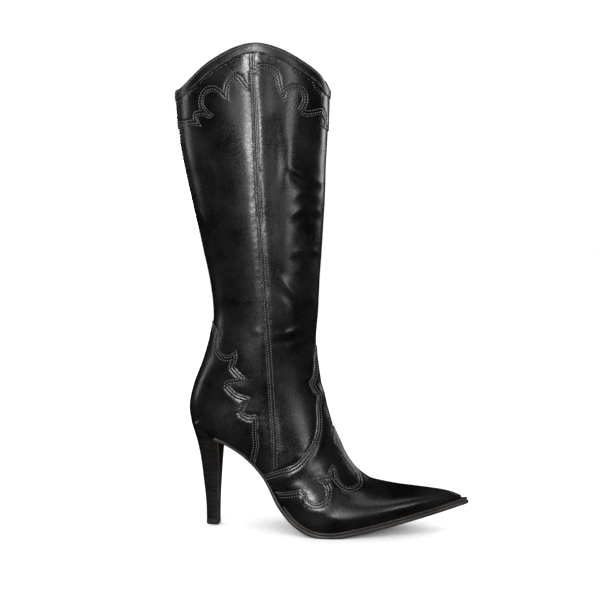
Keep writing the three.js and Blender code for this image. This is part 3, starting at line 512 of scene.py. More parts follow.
class Edge:
    """A cut edge of one or more leather pieces on one side of the boot."""

    def __init__(self, runs, side):
        self.side = side
        self.chains = trace(runs)
        joined = [np.vstack(chain) for chain in self.chains]
        self.q = np.vstack(joined) if joined else np.zeros((0, 2))
        self.points = skin(self.q[:, 0], self.q[:, 1], side)
        self.tree = tree_of(self.points)

    def beside(self, distance, wanted):
        """Chains at a distance over the surface, on the side where the wanted test holds."""
        rows = []
        for chain in self.chains:
            q, ways = with_tangents(chain, self.side)
            for sign in (1, -1):
                near = side_view(moved_over(q, ways, self.side, sign * PROBE), self.side)
                if wanted(near).mean() > MOSTLY:
                    rows += self.cleaned(moved_over(q, ways, self.side, sign * distance), distance)
        return rows

    def cleaned(self, q, distance):
        """The row without the loops that an offset makes at corners."""
        place = skin(q[:, 0], np.clip(q[:, 1], 0, math.pi), self.side)
        kept = gaps_to(place, self.tree) > 0.9 * distance - 0.04
        kept &= (q[:, 1] > 0) & (q[:, 1] < math.pi) & (q[:, 0] < TIP)
        return split(q, kept, self.side)


def split(q, kept, side, jump=3.0):
    """The kept points as chains, parted where two neighbours are far from each other."""
    q = q[kept]
    if len(q) < 3:
        return []
    place = skin(q[:, 0], q[:, 1], side)
    far = np.flatnonzero(np.linalg.norm(np.diff(place, axis=0), axis=1) > jump) + 1
    return [c for c in np.split(q, far) if len(c) > 2]


def side_view(q, side):
    return skin(q[:, 0], np.clip(q[:, 1], 0, math.pi), side)[:, [0, 2]]


def inside(polygon, xz):
    """Which points of the side view lie in a polygon."""
    x, z = xz[:, 0], xz[:, 1]
    found = np.zeros(len(xz), bool)
    for (ax, az), (bx, bz) in zip(polygon, np.roll(polygon, -1, axis=0)):
        if az != bz:
            found ^= ((az > z) != (bz > z)) & (x < (bx - ax) * (z - az) / (bz - az) + ax)
    return found


def region(runs, corners):
    return np.vstack([*drawn(runs), np.array(corners, float).reshape(-1, 2)])


ZIP_GAP = 5.0  # half the opening between the leather edges
ZIP_FOOT = 121.0


def zip_x(z):
    """Where the zip's straight line lies on the inner side, seen from the side."""
    return 45.5 + (412 - z) * 0.0435


def zip_edges(reach, foot=ZIP_FOOT):
    heights = np.linspace(470, foot, 6)
    back = [(zip_x(z) - reach, z) for z in heights]
    front = [(zip_x(z) + reach, z) for z in heights[::-1]]
    return [back, [back[-1], front[0]], front]


def shifted_down(runs, distance):
    """An edge moved down by a distance in the side view."""
    line = np.vstack(drawn(runs))
    line = line[np.concatenate([[True], np.linalg.norm(np.diff(line, axis=0), axis=1) > 1e-6])]
    way = unit(np.gradient(line, axis=0))
    moved = line + np.stack([way[:, 1], -way[:, 0]], -1) * distance
    return [[tuple(p) for p in moved[::12]]]


ABOVE_TOPLINE = region(TOPLINE, [(140, 520), (-60, 520)])
AHEAD_OF_SEAM = region(SIDE_SEAM, [(300, 20), (300, 480)])
IN_COUNTER = region(COUNTER_EDGE, [(-60, 40)])
BELOW_INSTEP = region(INSTEP_EDGE, [(300, 190), (300, -20), (40, -20)])
IN_VAMP = region(VAMP_EDGE, [(300, 108), (300, -20), (50, -20)])
IN_ZIP = region(zip_edges(ZIP_GAP), [])


def names_at(xz, side, ahead, behind, opening, zones):
    """Piece names at points of the side view: before or behind the seam, then by zones."""
    names = np.where(inside(AHEAD_OF_SEAM, xz), ahead, behind).astype("<U20")
    for name, zone in zones.items():
        names[inside(zone, xz)] = name
    if side == INNER:
        names[inside(opening, xz)] = ""
    return names


def piece_at(xz, side):
    """The upper's piece at each point of the side view, by name."""
    zones = {"counter": IN_COUNTER, "instep_piece": BELOW_INSTEP, "vamp": IN_VAMP, "": ABOVE_TOPLINE}
    return names_at(xz, side, "shaft_front", "shaft_back", IN_ZIP, zones)


def both_sides(lines):
    """Edges cut alike on both sides of the boot, by name and side."""
    return {(name, side): Edge(runs, side) for side in (OUTER, INNER) for name, runs in lines.items()}


def seam_between(low, high):
    """The side seam's line between two heights."""
    return [[p for p in np.vstack(drawn(SIDE_SEAM))[::8] if low < p[1] < high]]


# ---- Nets of triangles over the surface --------------------------------------------

SUPPORT_CELL = 0.4  # one support point is kept in each cell of this size
SUPPORT_GAP = 0.18  # and none nearer to an edge than this


def to_plane(q):
    girth = np.interp(q[:, 0], GRID_T, HALF_GIRTH)
    return np.stack([(q[:, 1] / math.pi - 0.5) * girth, np.interp(q[:, 0], GRID_T, DOWN)], -1)


def from_plane(uv):
    t = np.interp(uv[:, 1], DOWN, GRID_T)
    girth = np.interp(t, GRID_T, HALF_GIRTH)
    angle = (uv[:, 0] / girth + 0.5) * math.pi
    angle = np.where(angle < 2e-4, 0, angle)
    return np.stack([t, np.where(angle > math.pi - 2e-4, math.pi, angle)], -1)


def interior_points(t_low, t_high, spacing):
    """A staggered grid of (t, angle), evenly spaced over the surface."""
    low, high = np.interp([t_low, t_high], GRID_T, DOWN)
    rows = []
    for k, down in enumerate(np.arange(low + spacing / 2, high, spacing * 0.87)):
        t = np.interp(down, DOWN, GRID_T)
        count = max(5, int(np.interp(t, GRID_T, HALF_GIRTH) / spacing))
        angles = (np.arange(count) + (0.25 if k % 2 else 0.75)) / count * math.pi
        if t > BREAK:
            angles = np.concatenate([[0.03, 0.08], angles[angles > 0.12]])
        rows.append(np.stack([np.full(len(angles), t), angles], -1))
    return np.vstack(rows)


def thinned(uv, kept_first, gap):
    """Of the second points, those no nearer than gap to the first ones."""
    return uv[gaps_to(flat_3d(uv), tree_of(flat_3d(kept_first))) > gap]


def one_per_cell(uv, cell):
    _, first = np.unique(np.round(uv / cell).astype(int), axis=0, return_index=True)
    return uv[np.sort(first)]


def triangulated(points, links, tolerance):
    """A plane net holding the links: points, triangles facing up, twice their areas, middles."""
    coords, _, faces, *_ = delaunay_2d_cdt([Vector(p) for p in points], links, [], 0, tolerance)
    uv = np.array([tuple(c) for c in coords])
    triangles = np.array(faces)
    a, b, c = (uv[triangles[:, k]] for k in range(3))
    area = np.cross(b - a, c - a)
    triangles = np.where((area > 0)[:, None], triangles, triangles[:, ::-1])
    return uv, triangles, np.abs(area), (a + b + c) / 3


def side_net(edges, support, t_low, t_high, spacing):
    """Triangles over one side of the boot, with every edge of the pieces among their sides."""
    fixed, links = [], []

    def add_line(q):
        start = len(fixed)
        fixed.extend(to_plane(q).tolist())
        links.extend((start + k, start + k + 1) for k in range(len(q) - 1))

    met = {0.0: [], math.pi: []}
    for edge in edges:
        for chain in edge.chains:
            for piece in chain:
                add_line(piece)
            for end in (chain[0][0], chain[-1][-1]):
                if end[1] in met:
                    met[end[1]].append(end[0])
    low, high = np.interp([t_low, t_high], GRID_T, DOWN)
    even = np.interp(np.linspace(low, high, int((high - low) / (0.8 * spacing)) + 2), DOWN, GRID_T)
    for angle, places in met.items():
        places = np.array([p for p in places if t_low < p < t_high])
        far = [all(abs(t - p) > 0.02 for p in places) for t in even]
        far[0] = far[-1] = True
        stations = np.sort(np.concatenate([even[far], places]))
        add_line(np.stack([stations, np.full(len(stations), angle)], -1))
    for t in (t_low, t_high):
        add_line(np.stack([np.full(9, t), np.linspace(0, math.pi, 9)], -1))
    fixed_uv = np.array(fixed)
    beside = [to_plane(np.clip(q, [t_low, 0.004], [t_high, math.pi - 0.004])) for q in support]
    loose = np.zeros((0, 2))
    if beside:
        loose = thinned(one_per_cell(np.vstack(beside), SUPPORT_CELL), fixed_uv, SUPPORT_GAP)
    held = np.vstack([fixed_uv, loose])
    grid = thinned(to_plane(interior_points(t_low, t_high, spacing)), held, spacing * 0.5)
    uv, triangles, area, middle_uv = triangulated(np.vstack([held, grid]), links, 2e-3)
    middle = from_plane(middle_uv)
    good = (area > 1e-4) & (middle[:, 1] > 1e-3) & (middle[:, 1] < math.pi - 1e-3)
    good &= (middle[:, 0] > t_low) & (middle[:, 0] < t_high)
    return from_plane(uv), triangles[good], middle[good]


class Net:
    """Both sides of the boot as one net: points (t, angle, side) and triangles with names."""

    def __init__(self, edges, support, name_at, t_low=0.0, t_high=TIP, spacing=2.6):
        q, sides, triangles, names = [], [], [], []
        count = 0
        for side in (OUTER, INNER):
            mine = [e for e in edges if e.side == side]
            beside = [row for s, row in support if s == side]
            points, tris, middle = side_net(mine, beside, t_low, t_high, spacing)
            names.append(name_at(side_view(middle, side), side))
            # seen from outside, one side of the boot is the mirror of the other
            triangles.append((tris if side == INNER else tris[:, ::-1]) + count)
            q.append(points)
            sides.append(np.full(len(points), side))
            count += len(points)
        self.q, self.sides = np.vstack(q), np.concatenate(sides)
        self.triangles, self.names = self.welded(np.vstack(triangles)), np.concatenate(names)

    def welded(self, triangles):
        """Joins the two sides along the front line, and along the back line of the leg."""
        t, angle = self.q[:, 0], self.q[:, 1]
        swap = np.arange(len(t))
        for line in (angle == 0) & (t <= BREAK + 1e-3), angle == math.pi:
            left = np.flatnonzero(line & (self.sides == OUTER))
            right = np.flatnonzero(line & (self.sides == INNER))
            order = right[np.argsort(t[right])]
            near = np.searchsorted(t[order], t[left] - 2e-3)
            near = np.minimum(near, len(order) - 1)
            same = np.abs(t[order[near]] - t[left]) < 4e-3
            swap[left[same]] = order[near[same]]
        return swap[triangles]

    def piece(self, name):
        """The points and triangles of one piece."""
        tris = self.triangles[self.names == name]
        tris = tris[(tris != np.roll(tris, 1, axis=1)).all(1)]
        used, fresh = np.unique(tris, return_inverse=True)
        return self.q[used], self.sides[used], fresh.reshape(-1, 3)


# ---- Meshes --------------------------------------------------------------------------


def shell(outer, inner, triangles, wall=()):
    """A closed solid between two faces that share their triangles. The wall between them
    can have rows of its own: (part of the way down, how far it stands out)."""
    n = len(outer)
    sides = triangles[:, [0, 1, 1, 2, 2, 0]].reshape(-1, 2)
    code, back = sides[:, 0] * n + sides[:, 1], sides[:, 1] * n + sides[:, 0]
    rim = sides[~np.isin(code, back)]
    faces = triangles.tolist() + (triangles[:, ::-1] + n).tolist()
    on_rim = np.unique(rim)
    place = np.zeros(n, int)
    place[on_rim] = np.arange(len(on_rim))
    outward = np.zeros((n, 3))
    down = inner - outer
    for a, b in rim:
        push = unit(np.cross(outer[b] - outer[a], -down[a]))
        outward[a] += push / 2
        outward[b] += push / 2
    rows = [np.arange(n)]
    points = [outer, inner]
    for k, (part, stand) in enumerate(wall):
        points.append((outer + down * part + outward * stand)[on_rim])
        rows.append(2 * n + k * len(on_rim) + place)
    rows.append(np.arange(n) + n)
    for high, low in zip(rows, rows[1:]):
        faces += np.stack([high[rim[:, 1]], high[rim[:, 0]], low[rim[:, 0]], low[rim[:, 1]]], -1).tolist()
    return np.vstack(points), faces


def loft(rings, closed=False):
    """Quads through rings of points, with a fan over each end."""
    count, around = rings.shape[:2]
    points = rings.reshape(-1, 3)
    i, j = np.meshgrid(np.arange(count if closed else count - 1), np.arange(around), indexing="ij")
    a, b = i * around + j, i * around + (j + 1) % around
    above_b, above_a = ((k + around) % (count * around) for k in (b, a))
    faces = np.stack([a, b, above_b, above_a], -1).reshape(-1, 4).tolist()
    if not closed:
        hubs = np.stack([rings[0].mean(0), rings[-1].mean(0)])
        for hub, ring, turn in ((0, 0, -1), (1, count - 1, 1)):
            for k in range(around):
                edge = (ring * around + k, ring * around + (k + 1) % around)[::turn]
                faces.append([count * around + hub, *edge])
        points = np.vstack([points, hubs])
    return points, faces


def joined(parts):
    """Several (points, faces) as one."""
    points, faces, count = [], [], 0
    for more, their_faces in parts:
        points.append(more)
        faces += [[count + i for i in face] for face in their_faces]
        count += len(more)
    return np.vstack(points), faces


def make_piece(name, mesh_data, material, replaces=(), body="boot", sharp=45, marks=None):
    """A Blender object from points in millimetres, riding on a body."""
    points, faces = mesh_data
    mesh = bpy.data.meshes.new(name)
    mesh.from_pydata((points * MM).tolist(), [], faces)
    mesh.validate()
    if marks is not None:
        given = np.zeros(len(mesh.vertices), np.float32)
        given[:len(marks)] = marks
        mesh.attributes.new("cut_edge", "FLOAT", "POINT").data.foreach_set("value", given)
    mesh.shade_smooth()
    mesh.set_sharp_from_angle(angle=math.radians(sharp))
    mesh.materials.append(material)
    piece = bpy.data.objects.new(name, mesh)
    bpy.context.scene.collection.objects.link(piece)
    if replaces:
        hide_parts(*replaces)
    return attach(piece, body)


# ---- Thread --------------------------------------------------------------------------

THREAD_SIDES = 6
# Rings of one stitch: part of its half length, part of its radius, how deep it dips.
STITCH_RINGS = [(-1.0, 0.35, 0.34), (-0.8, 0.85, 0.12), (-0.3, 1.0, 0.0), (0.3, 1.0, 0.0),
                (0.8, 0.85, 0.12), (1.0, 0.35, 0.34)]


def stitches(places, ways, ups, length, radius):
    """A rounded bar of thread at each place, dipping into the leather at its ends."""
    across = np.cross(ups, ways)
    rounds = np.linspace(0, 2 * math.pi, THREAD_SIDES, endpoint=False)
    rings = []
    for reach, thick, dip in STITCH_RINGS:
        for a in rounds:
            rings.append((reach * length / 2, math.cos(a) * thick * radius,
                          math.sin(a) * thick * radius - dip))
    rings = np.array(rings)
    points = (places[:, None] + ways[:, None] * rings[:, :1] + across[:, None] * rings[:, 1:2]
              + ups[:, None] * rings[:, 2:])
    s, last = THREAD_SIDES, len(STITCH_RINGS) - 1
    faces = [[r * s + k, (r + 1) * s + k, (r + 1) * s + (k + 1) % s, r * s + (k + 1) % s]
             for r in range(last) for k in range(s)]
    faces += [list(range(s)), [last * s + k for k in reversed(range(s))]]
    every = np.arange(len(places)) * len(rings)
    return points.reshape(-1, 3), [[int(e) + i for i in face] for e in every for face in faces]


def row_places(q, side, lift_of, pitch):
    """Evenly spaced places along a row on the surface, with ways and ups."""
    way = lengths_along(skin(q[:, 0], q[:, 1], side))
    count = int(way[-1] / pitch)
    if count < 2:
        return None
    even = (np.arange(count) + 0.5) * way[-1] / count
    t, angle = np.interp(even, way, q[:, 0]), np.interp(even, way, q[:, 1])
    sides = np.full(count, side)
    places, ups = outer_face(t, angle, sides, lift_of(t, angle, sides))
    ways = np.gradient(places, axis=0)
    ways -= ups * (ways * ups).sum(1, keepdims=True)
    return places, unit(ways), ups


def sew(name, rows, lift_of, settings, material):
    """All the stitches of some rows, as one piece of thread."""
    found = [row_places(q, side, lift_of, settings.stitch_pitch / MM) for side, q in rows]
    found = [f for f in found if f]
    places, ways, ups = (np.vstack([f[k] for f in found]) for k in range(3))
    data = stitches(places, ways, ups, settings.stitch_length / MM, settings.thread_radius / MM)
    return make_piece(name, data, material, sharp=80)


# ---- Materials -----------------------------------------------------------------------


def linear(text):
    """An sRGB hex colour as the linear RGBA that nodes take."""
    parts = [int(text[k:k + 2], 16) / 255 for k in (1, 3, 5)]
    return (*[c / 12.92 if c <= 0.04045 else ((c + 0.055) / 1.055) ** 2.4 for c in parts], 1)


def add_node(tree, kind, inputs=None, **settings):
    """Adds a shader node with its settings, and its inputs as values or as links."""
    node = tree.nodes.new("ShaderNode" + kind)
    for name, value in settings.items():
        setattr(node, name, value)
    for socket, value in (inputs or {}).items():
        if isinstance(value, bpy.types.NodeSocket):
            tree.links.new(value, node.inputs[socket])
        else:
            node.inputs[socket].default_value = value
    return node


MIX_A, MIX_B, MIX_COLOUR = 6, 7, 2  # a colour Mix node's sockets


def start_material(name):
    material = bpy.data.materials.new(name)
    material.use_nodes = True
    material.node_tree.nodes.clear()
    tree = material.node_tree
    return material, tree, add_node(tree, "TexCoord").outputs["Object"]


def finish_material(tree, colour, roughness, height, depth_mm, **shader):
    """Joins colour, roughness and bump to the surface shader."""
    bump = add_node(tree, "Bump", {"Height": height, "Distance": depth_mm * MM, "Strength": 1.0})
    inputs = {"Base Color": colour, "Roughness": roughness, "Normal": bump.outputs[0]}
    inputs.update({key.replace("_", " "): value for key, value in shader.items()})
    surface = add_node(tree, "BsdfPrincipled", inputs)
    add_node(tree, "OutputMaterial", {"Surface": surface.outputs[0]})


def grain(tree, place, size_mm, detail=3.0, stretch=(1, 1, 1)):
    """Cloudy noise whose blotches are about size_mm across."""
    scaled = add_node(tree, "Mapping", {"Vector": place, "Scale": stretch}).outputs[0]
    return add_node(tree, "TexNoise", {"Vector": scaled, "Scale": 1 / (size_mm * MM),
                                       "Detail": detail, "Roughness": 0.55}).outputs[0]


def spread(tree, value, low, high, from_low=0.35, from_high=0.65):
    """A value from a noise stretched between two numbers."""
    return add_node(tree, "MapRange", {"Value": value, "From Min": from_low, "From Max": from_high,
                                       "To Min": low, "To Max": high}).outputs[0]


def mixed(tree, amount, first, second):
    node = add_node(tree, "Mix", {0: amount, MIX_A: first, MIX_B: second}, data_type="RGBA")
    return node.outputs[MIX_COLOUR]


def two_tone(tree, noise_value, dark, light):
    """A colour that a noise moves between two hex colours."""
    return mixed(tree, spread(tree, noise_value, 0, 1), linear(dark), linear(light))


def cells(tree, place, size_mm):
    """Pits or granules about size_mm apart."""
    return add_node(tree, "TexVoronoi", {"Vector": place, "Scale": 1 / (size_mm * MM)}).outputs[0]


def bands(tree, place, size_mm, distortion, direction):
    """Wavy bands along a direction, 0.31 of the size apart, or 0.36 on the diagonal."""
    return add_node(tree, "TexWave", {"Vector": place, "Scale": 1 / (size_mm * MM),
                                      "Distortion": distortion}, bands_direction=direction).outputs[1]


def math_of(tree, operation, a, b):
    return add_node(tree, "Math", {0: a, 1: b}, operation=operation).outputs[0]


def glazed_calf(name, dark, light, rough_low, rough_high):
    """Full-grain calf, dyed through, waxed and glazed: a deep black that shines softly, with
    fine pores, pale dusty lines on cut edges and duller, cloudy patches where it was flexed."""
    material, tree, place = start_material(name)
    clouds = grain(tree, place, 34, 4)
    colour = two_tone(tree, clouds, dark, light)
    edge = add_node(tree, "Attribute", attribute_name="cut_edge").outputs["Fac"]
    scuffs = spread(tree, grain(tree, place, 5, 5), 0.1, 1.0)
    colour = mixed(tree, math_of(tree, "MULTIPLY", edge, scuffs), colour, linear("#5e5d5c"))
    fine = grain(tree, place, 1.6, 6)
    rough = math_of(tree, "ADD", spread(tree, clouds, rough_low, rough_high),
                    spread(tree, fine, -0.06, 0.08))
    # Pores are 0.3 mm apart on calf: drawn at 1.1 mm, so that they show.
    pores = cells(tree, place, 1.1)
    height = math_of(tree, "ADD", math_of(tree, "MULTIPLY", pores, 0.45), fine)
    finish_material(tree, colour, rough, height, 0.05, IOR=1.5, Coat_Weight=0.25, Coat_Roughness=0.2)
    return material


def lining_leather():
    """Chrome-tanned pigskin lining, undyed on its loose side: matt, softly mottled brown-black."""
    material, tree, place = start_material("pigskin_lining")
    clouds = grain(tree, place, 12, 4)
    colour = two_tone(tree, clouds, "#1d1916", "#352d28")
    rough = spread(tree, clouds, 0.6, 0.8)
    finish_material(tree, colour, rough, cells(tree, place, 1.6), 0.12, IOR=1.45)
    return material


def waxed_thread(name, dark, light):
    """Bonded polyester thread, twisted and waxed, and dull. The sewing thread is black, painted grey as a
    painted sheen so that it shows lighter than the leather; the welt's thread is inked dark with the sole.
    """
    material, tree, place = start_material(name)
    twist = bands(tree, place, 1.2, 2.0, "DIAGONAL")
    colour = mixed(tree, twist, linear(dark), linear(light))
    finish_material(tree, colour, spread(tree, twist, 0.5, 0.65, 0, 1), twist, 0.05, IOR=1.5)
    return material


def edge_inked_sole():
    """Veg-tanned sole leather, cut, sanded and inked black: satin edges with fine scratches and
    a slightly brown tread."""
    material, tree, place = start_material("inked_sole_leather")
    clouds = grain(tree, place, 14, 5)
    scratch = grain(tree, place, 3.5, 5, (0.25, 1, 2.5))
    colour = two_tone(tree, clouds, "#171413", "#2e2926")
    colour = mixed(tree, spread(tree, scratch, 0, 0.5, 0.55, 0.75), colour, linear("#4b443e"))
    finish_material(tree, colour, spread(tree, scratch, 0.36, 0.55), scratch, 0.08, IOR=1.5)
    return material


def stacked_leather():
    """Heel lifts of stained leather, stacked and burnished: thin level lines between lifts and
    a waxed shine over streaky black-brown."""
    material, tree, place = start_material("stacked_heel_leather")
    layers = grain(tree, place, 5.2, 3, (0.08, 0.08, 1))
    fibres = grain(tree, place, 1.3, 4, (0.3, 0.3, 1.6))
    colour = two_tone(tree, layers, "#0a0908", "#171311")
    colour = mixed(tree, spread(tree, fibres, 0, 0.3, 0.5, 0.7), colour, linear("#2c2622"))
    height = math_of(tree, "ADD", layers, math_of(tree, "MULTIPLY", fibres, 0.5))
    finish_material(tree, colour, spread(tree, fibres, 0.3, 0.46), height, 0.03, IOR=1.5,
                    Coat_Weight=0.2, Coat_Roughness=0.25)
    return material


def woven_tape():
    """Polyester zip tape, twill woven: matt black with fine slanting ribs."""
    material, tree, place = start_material("woven_zip_tape")
    # Ribs are 0.4 mm apart on the tape: drawn at about 1.8 mm, so that they show.
    ribs = bands(tree, place, 5, 0.4, "DIAGONAL")
    weave = math_of(tree, "MULTIPLY", ribs, bands(tree, place, 4, 0.4, "Z"))
    colour = mixed(tree, weave, linear("#0b0b0d"), linear("#26262a"))
    finish_material(tree, colour, spread(tree, weave, 0.75, 0.9, 0, 1), weave, 0.15, IOR=1.5,
                    Sheen_Weight=0.3, Sheen_Roughness=0.5)
    return material


def pressed_board(name, dark, light, size_mm, depth_mm):
    """Board or sheet pressed from fibres or granules: matt and speckled."""
    material, tree, place = start_material(name)
    speckle = grain(tree, place, size_mm, 6)
    colour = two_tone(tree, speckle, dark, light)
    height = math_of(tree, "ADD", speckle, cells(tree, place, size_mm))
    finish_material(tree, colour, spread(tree, speckle, 0.8, 0.95), height, depth_mm, IOR=1.45)
    return material


def mottled(name, size_mm, detail, dark, light, low_rough, high_rough, depth_mm, shader):
    """A material whose colour, roughness and height all follow one noise."""
    material, tree, place = start_material(name)
    cloud = grain(tree, place, size_mm, detail, STRETCHED.get(name, (1, 1, 1)))
    colour = two_tone(tree, cloud, dark, light)
    finish_material(tree, colour, spread(tree, cloud, low_rough, high_rough), cloud, depth_mm, **shader)
    return material


STRETCHED = {"rolled_steel": (0.15, 1, 1)}  # scale of the noise along each axis

# Size of the blotches in mm, detail, dark and light colour, roughness, bump in mm, shader.
MOTTLED = {
    # Heel-tip rubber, moulded and worn at the tread: matt black with fine grit.
    "rubber": ("moulded_rubber", 0.9, 5, "#0c0c0c", "#1f1e1d", 0.68, 0.85, 0.08, {"IOR": 1.52}),
    # Nylon monofilament, drawn and coiled: smooth black with faint streaks along its turns.
    "nylon": ("nylon_coil", 0.8, 3, "#0e0e10", "#232327", 0.32, 0.46, 0.03, {"IOR": 1.53}),
    # Zinc casting with black-nickel plating, tumbled: dark, bright and faintly cloudy.
    "nickel": ("black_nickel_plate", 2.4, 4, "#5a5a5e", "#86868a", 0.2, 0.34, 0.02, {"Metallic": 1.0}),
    # Cold-rolled spring steel: grey, with fine lines along its length.
    "steel": ("rolled_steel", 0.7, 4, "#85888b", "#b4b7ba", 0.28, 0.45, 0.02, {"Metallic": 1.0}),
    # ABS heel core, injection moulded: plain grey with a fine moulded skin.
    "plastic": ("moulded_abs", 1.0, 4, "#625f5a", "#75726c", 0.42, 0.55, 0.04, {"IOR": 1.54}),
    # Studio paper, laid flat as the floor: pale and quite matt.
    "paper": ("sweep_paper", 4, 3, "#f7f7f7", "#fdfdfd", 0.85, 0.95, 0.02, {"IOR": 1.45}),
}

MADE = {}  # materials by name, made once


def finish(name):
    """A material of the boot by its short name."""
    if name not in MADE:
        leather = bpy.context.scene.boot_leather
        dyes = (leather.dark, leather.light)
        makers = {
            "calf": (glazed_calf, "glazed_calf", *dyes, 0.22, 0.34),
            "binding": (glazed_calf, "folded_calf_binding", *dyes, 0.3, 0.42),
            "lining": (lining_leather,),
            # sewing thread: black thread painted mid grey, a painted sheen that makes it show lighter than
            # the leather
            "thread": (waxed_thread, "waxed_thread", "#505051", "#808081"),
            "dark_thread": (waxed_thread, "inked_welt_thread", "#161515", "#302e2d"),
            "sole": (edge_inked_sole,),
            "stack": (stacked_leather,),
            "tape": (woven_tape,),
            "cork": (pressed_board, "granulated_cork", "#6f4c2c", "#b98d5c", 1.6, 0.3),
            "fibreboard": (pressed_board, "cellulose_fibreboard", "#7a6147", "#9c8163", 2.5, 0.1),
            "stiff_sheet": (pressed_board, "stiffener_felt", "#a89c87", "#c9beaa", 1.2, 0.1),
        }
        makers.update({short: (mottled, *values) for short, values in MOTTLED.items()})
        maker, *values = makers[name]
        MADE[name] = maker(*values)
    return MADE[name]


# ---- The upper -----------------------------------------------------------------------

LEATHER = 1.3
LAP_RISE = 0.85  # how far a lapped edge stands above the piece under it
ROWS = (2.4, 5.2)  # the two rows of stitches, from the edge
GROOVE = 0.45  # half width of the furrow that a row pulls into the leather
FURROW_DEPTH = 0.34
CROSSING_GAP = 1.3  # a row stops this far from an edge that crosses it
# Where a net has extra points: at the rounding of a cut edge and across each furrow.
SUPPORT_AT = (0.22, 0.6, *(row + across for row in ROWS for across in (-0.7, 0, 0.7)))
PRESSED_WIDTH, PRESSED_DEPTH = 1.2, 0.4  # how a piece dips where another laps over it
EDGE_SHOWS, EDGE_WIDTH = 0.75, 0.5  # how much and how far the pale cut edge shows

# The pieces of the upper with the edges that they lap over their neighbours with.
UPPER = {
    "vamp": ["vamp"],
    "instep_piece": ["instep"],
    "counter": ["counter"],
    "shaft_front": ["seam", "zip"],
    "shaft_back": ["zip"],
}
UNDER = {"instep_piece": ["vamp"], "shaft_front": ["instep"], "shaft_back": ["seam", "counter", "instep"]}


def upper_edges():
    """The cut edges of the upper's pieces."""
    edges = both_sides({"vamp": VAMP_EDGE, "instep": INSTEP_EDGE, "counter": COUNTER_EDGE,
                        "topline": TOPLINE})
    edges["seam", OUTER] = Edge(SIDE_SEAM, OUTER)
    edges["seam", INNER] = Edge(seam_between(0, ZIP_FOOT), INNER)
    edges["zip", INNER] = Edge(zip_edges(ZIP_GAP), INNER)
    return edges


def lap_height(gap, rise):
    """A lapped edge's height above the plain face: high and rounded at the edge."""
    height = rise * (1 - smooth(gap, 5.5, 16))
    bend = np.clip(1 - gap / 0.65, 0, 1)
    height -= 0.5 * (1 - np.sqrt(1 - bend ** 2))
    return height


def furrows(gap, rows):
    """How deep the rows of stitches pull the leather down."""
    return sum(FURROW_DEPTH * np.exp(-(((gap - row) / GROOVE) ** 2)) for row in rows)


def pressed(gap):
    """How far a piece dips beside an edge that laps over it."""
    return PRESSED_DEPTH * np.exp(-((gap / PRESSED_WIDTH) ** 2))


def nearest_gap(points, sides, edges, names):
    """Distance of each point to the nearest of the named edges on its own side."""
    gap = np.full(len(points), 99.0)
    for name in names:
        for side in (OUTER, INNER):
            edge = edges.get((name, side))
            if edge is None or not len(edge.q):
                continue
            mine = np.flatnonzero((sides == side) | (np.abs(points[:, 1]) < 6))
            gap[mine] = np.minimum(gap[mine], gaps_to(points[mine], edge.tree))
    return gap


def upper_lift(name, edges):
    """How far a piece's face stands above the plain skin, as a function of place."""
    def lift(t, angle, sides):
        points = skin(t, angle, sides)
        laps = [e for e in UPPER[name] if e != "zip"]
        height = np.zeros(len(points))
        if laps:
            gap = nearest_gap(points, sides, edges, laps)
            height += lap_height(gap, LAP_RISE) - furrows(gap, ROWS)
        if "zip" in UPPER[name]:
            gap = nearest_gap(points, sides, edges, ["zip"])
            height += lap_height(gap, 0.0) - furrows(gap, ROWS[:1])
        under = nearest_gap(points, sides, edges, UNDER.get(name, []))
        return height - pressed(under)
    return lift


def where_piece(name, side, name_at):
    """A test of side-view points for lying on one piece."""
    return lambda xz: name_at(xz, side) == name


def rows_on(name, edge_name, edges, distances, name_at, cutters):
    """Rows of stitching beside an edge, only where the piece really is."""
    rows = []
    for side in (OUTER, INNER):
        edge = edges.get((edge_name, side))
        if edge is None:
            continue
        wanted = where_piece(name, side, name_at)
        for distance in distances:
            for q in edge.beside(distance, wanted):
                place = skin(q[:, 0], q[:, 1], side)
                kept = wanted(place[:, [0, 2]])
                for cutter in cutters:
                    other = edges.get((cutter, side))
                    if other is not None and len(other.q):
                        kept &= gaps_to(place, other.tree) > CROSSING_GAP
                rows += [(side, c) for c in split(q, kept, side)]
    return rows


def support_rows(edges, names, name_at):
    """Extra net points where lapped edges round over and rows of stitches lie."""
    support = []
    for name, edge_name in names:
        for side in (OUTER, INNER):
            edge = edges.get((edge_name, side))
            if edge is None:
                continue
            wanted = where_piece(name, side, name_at)
            for distance in SUPPORT_AT:
                support += [(side, q) for q in edge.beside(distance, wanted)]
    return support


def leather_piece(name, net, lift, edges, cut_names, thickness, material, replaces):
    """One thick piece of leather from its part of a net."""
    q, sides, triangles = net.piece(name)
    t, angle = q[:, 0], q[:, 1]
    rise = lift(t, angle, sides)
    outer, normal = outer_face(t, angle, sides, rise)
    inner = outer - normal * thickness
    gap = nearest_gap(skin(t, angle, sides), sides, edges, cut_names)
    marks = EDGE_SHOWS * np.exp(-((gap / EDGE_WIDTH) ** 2))
    return make_piece(f"{name}_leather", shell(outer, inner, triangles), material,
                      replaces=replaces, marks=marks)


# ---- Collars, topline binding and linings ---------------------------------------------

COLLAR_LIFT = 1.0
COLLAR_LEATHER = 0.92
BAND_ROW = 4.6  # the row of stitches below the binding
BINDING_WIDTH = 8.5
COLLAR_FRONT_REGION = region(COLLAR_FRONT_EDGE, [(140, 480), (44, 480)])
COLLAR_BACK_REGION = region(COLLAR_BACK_EDGE, [(70, 480), (-60, 480)])
BAND_FOOT = shifted_down(TOPLINE, BINDING_WIDTH - 2.5)
ABOVE_BAND = region(BAND_FOOT, [(140, 520), (-60, 520)])
COLLAR_DEPTH_T = 2.3  # the section that all of the collar is above


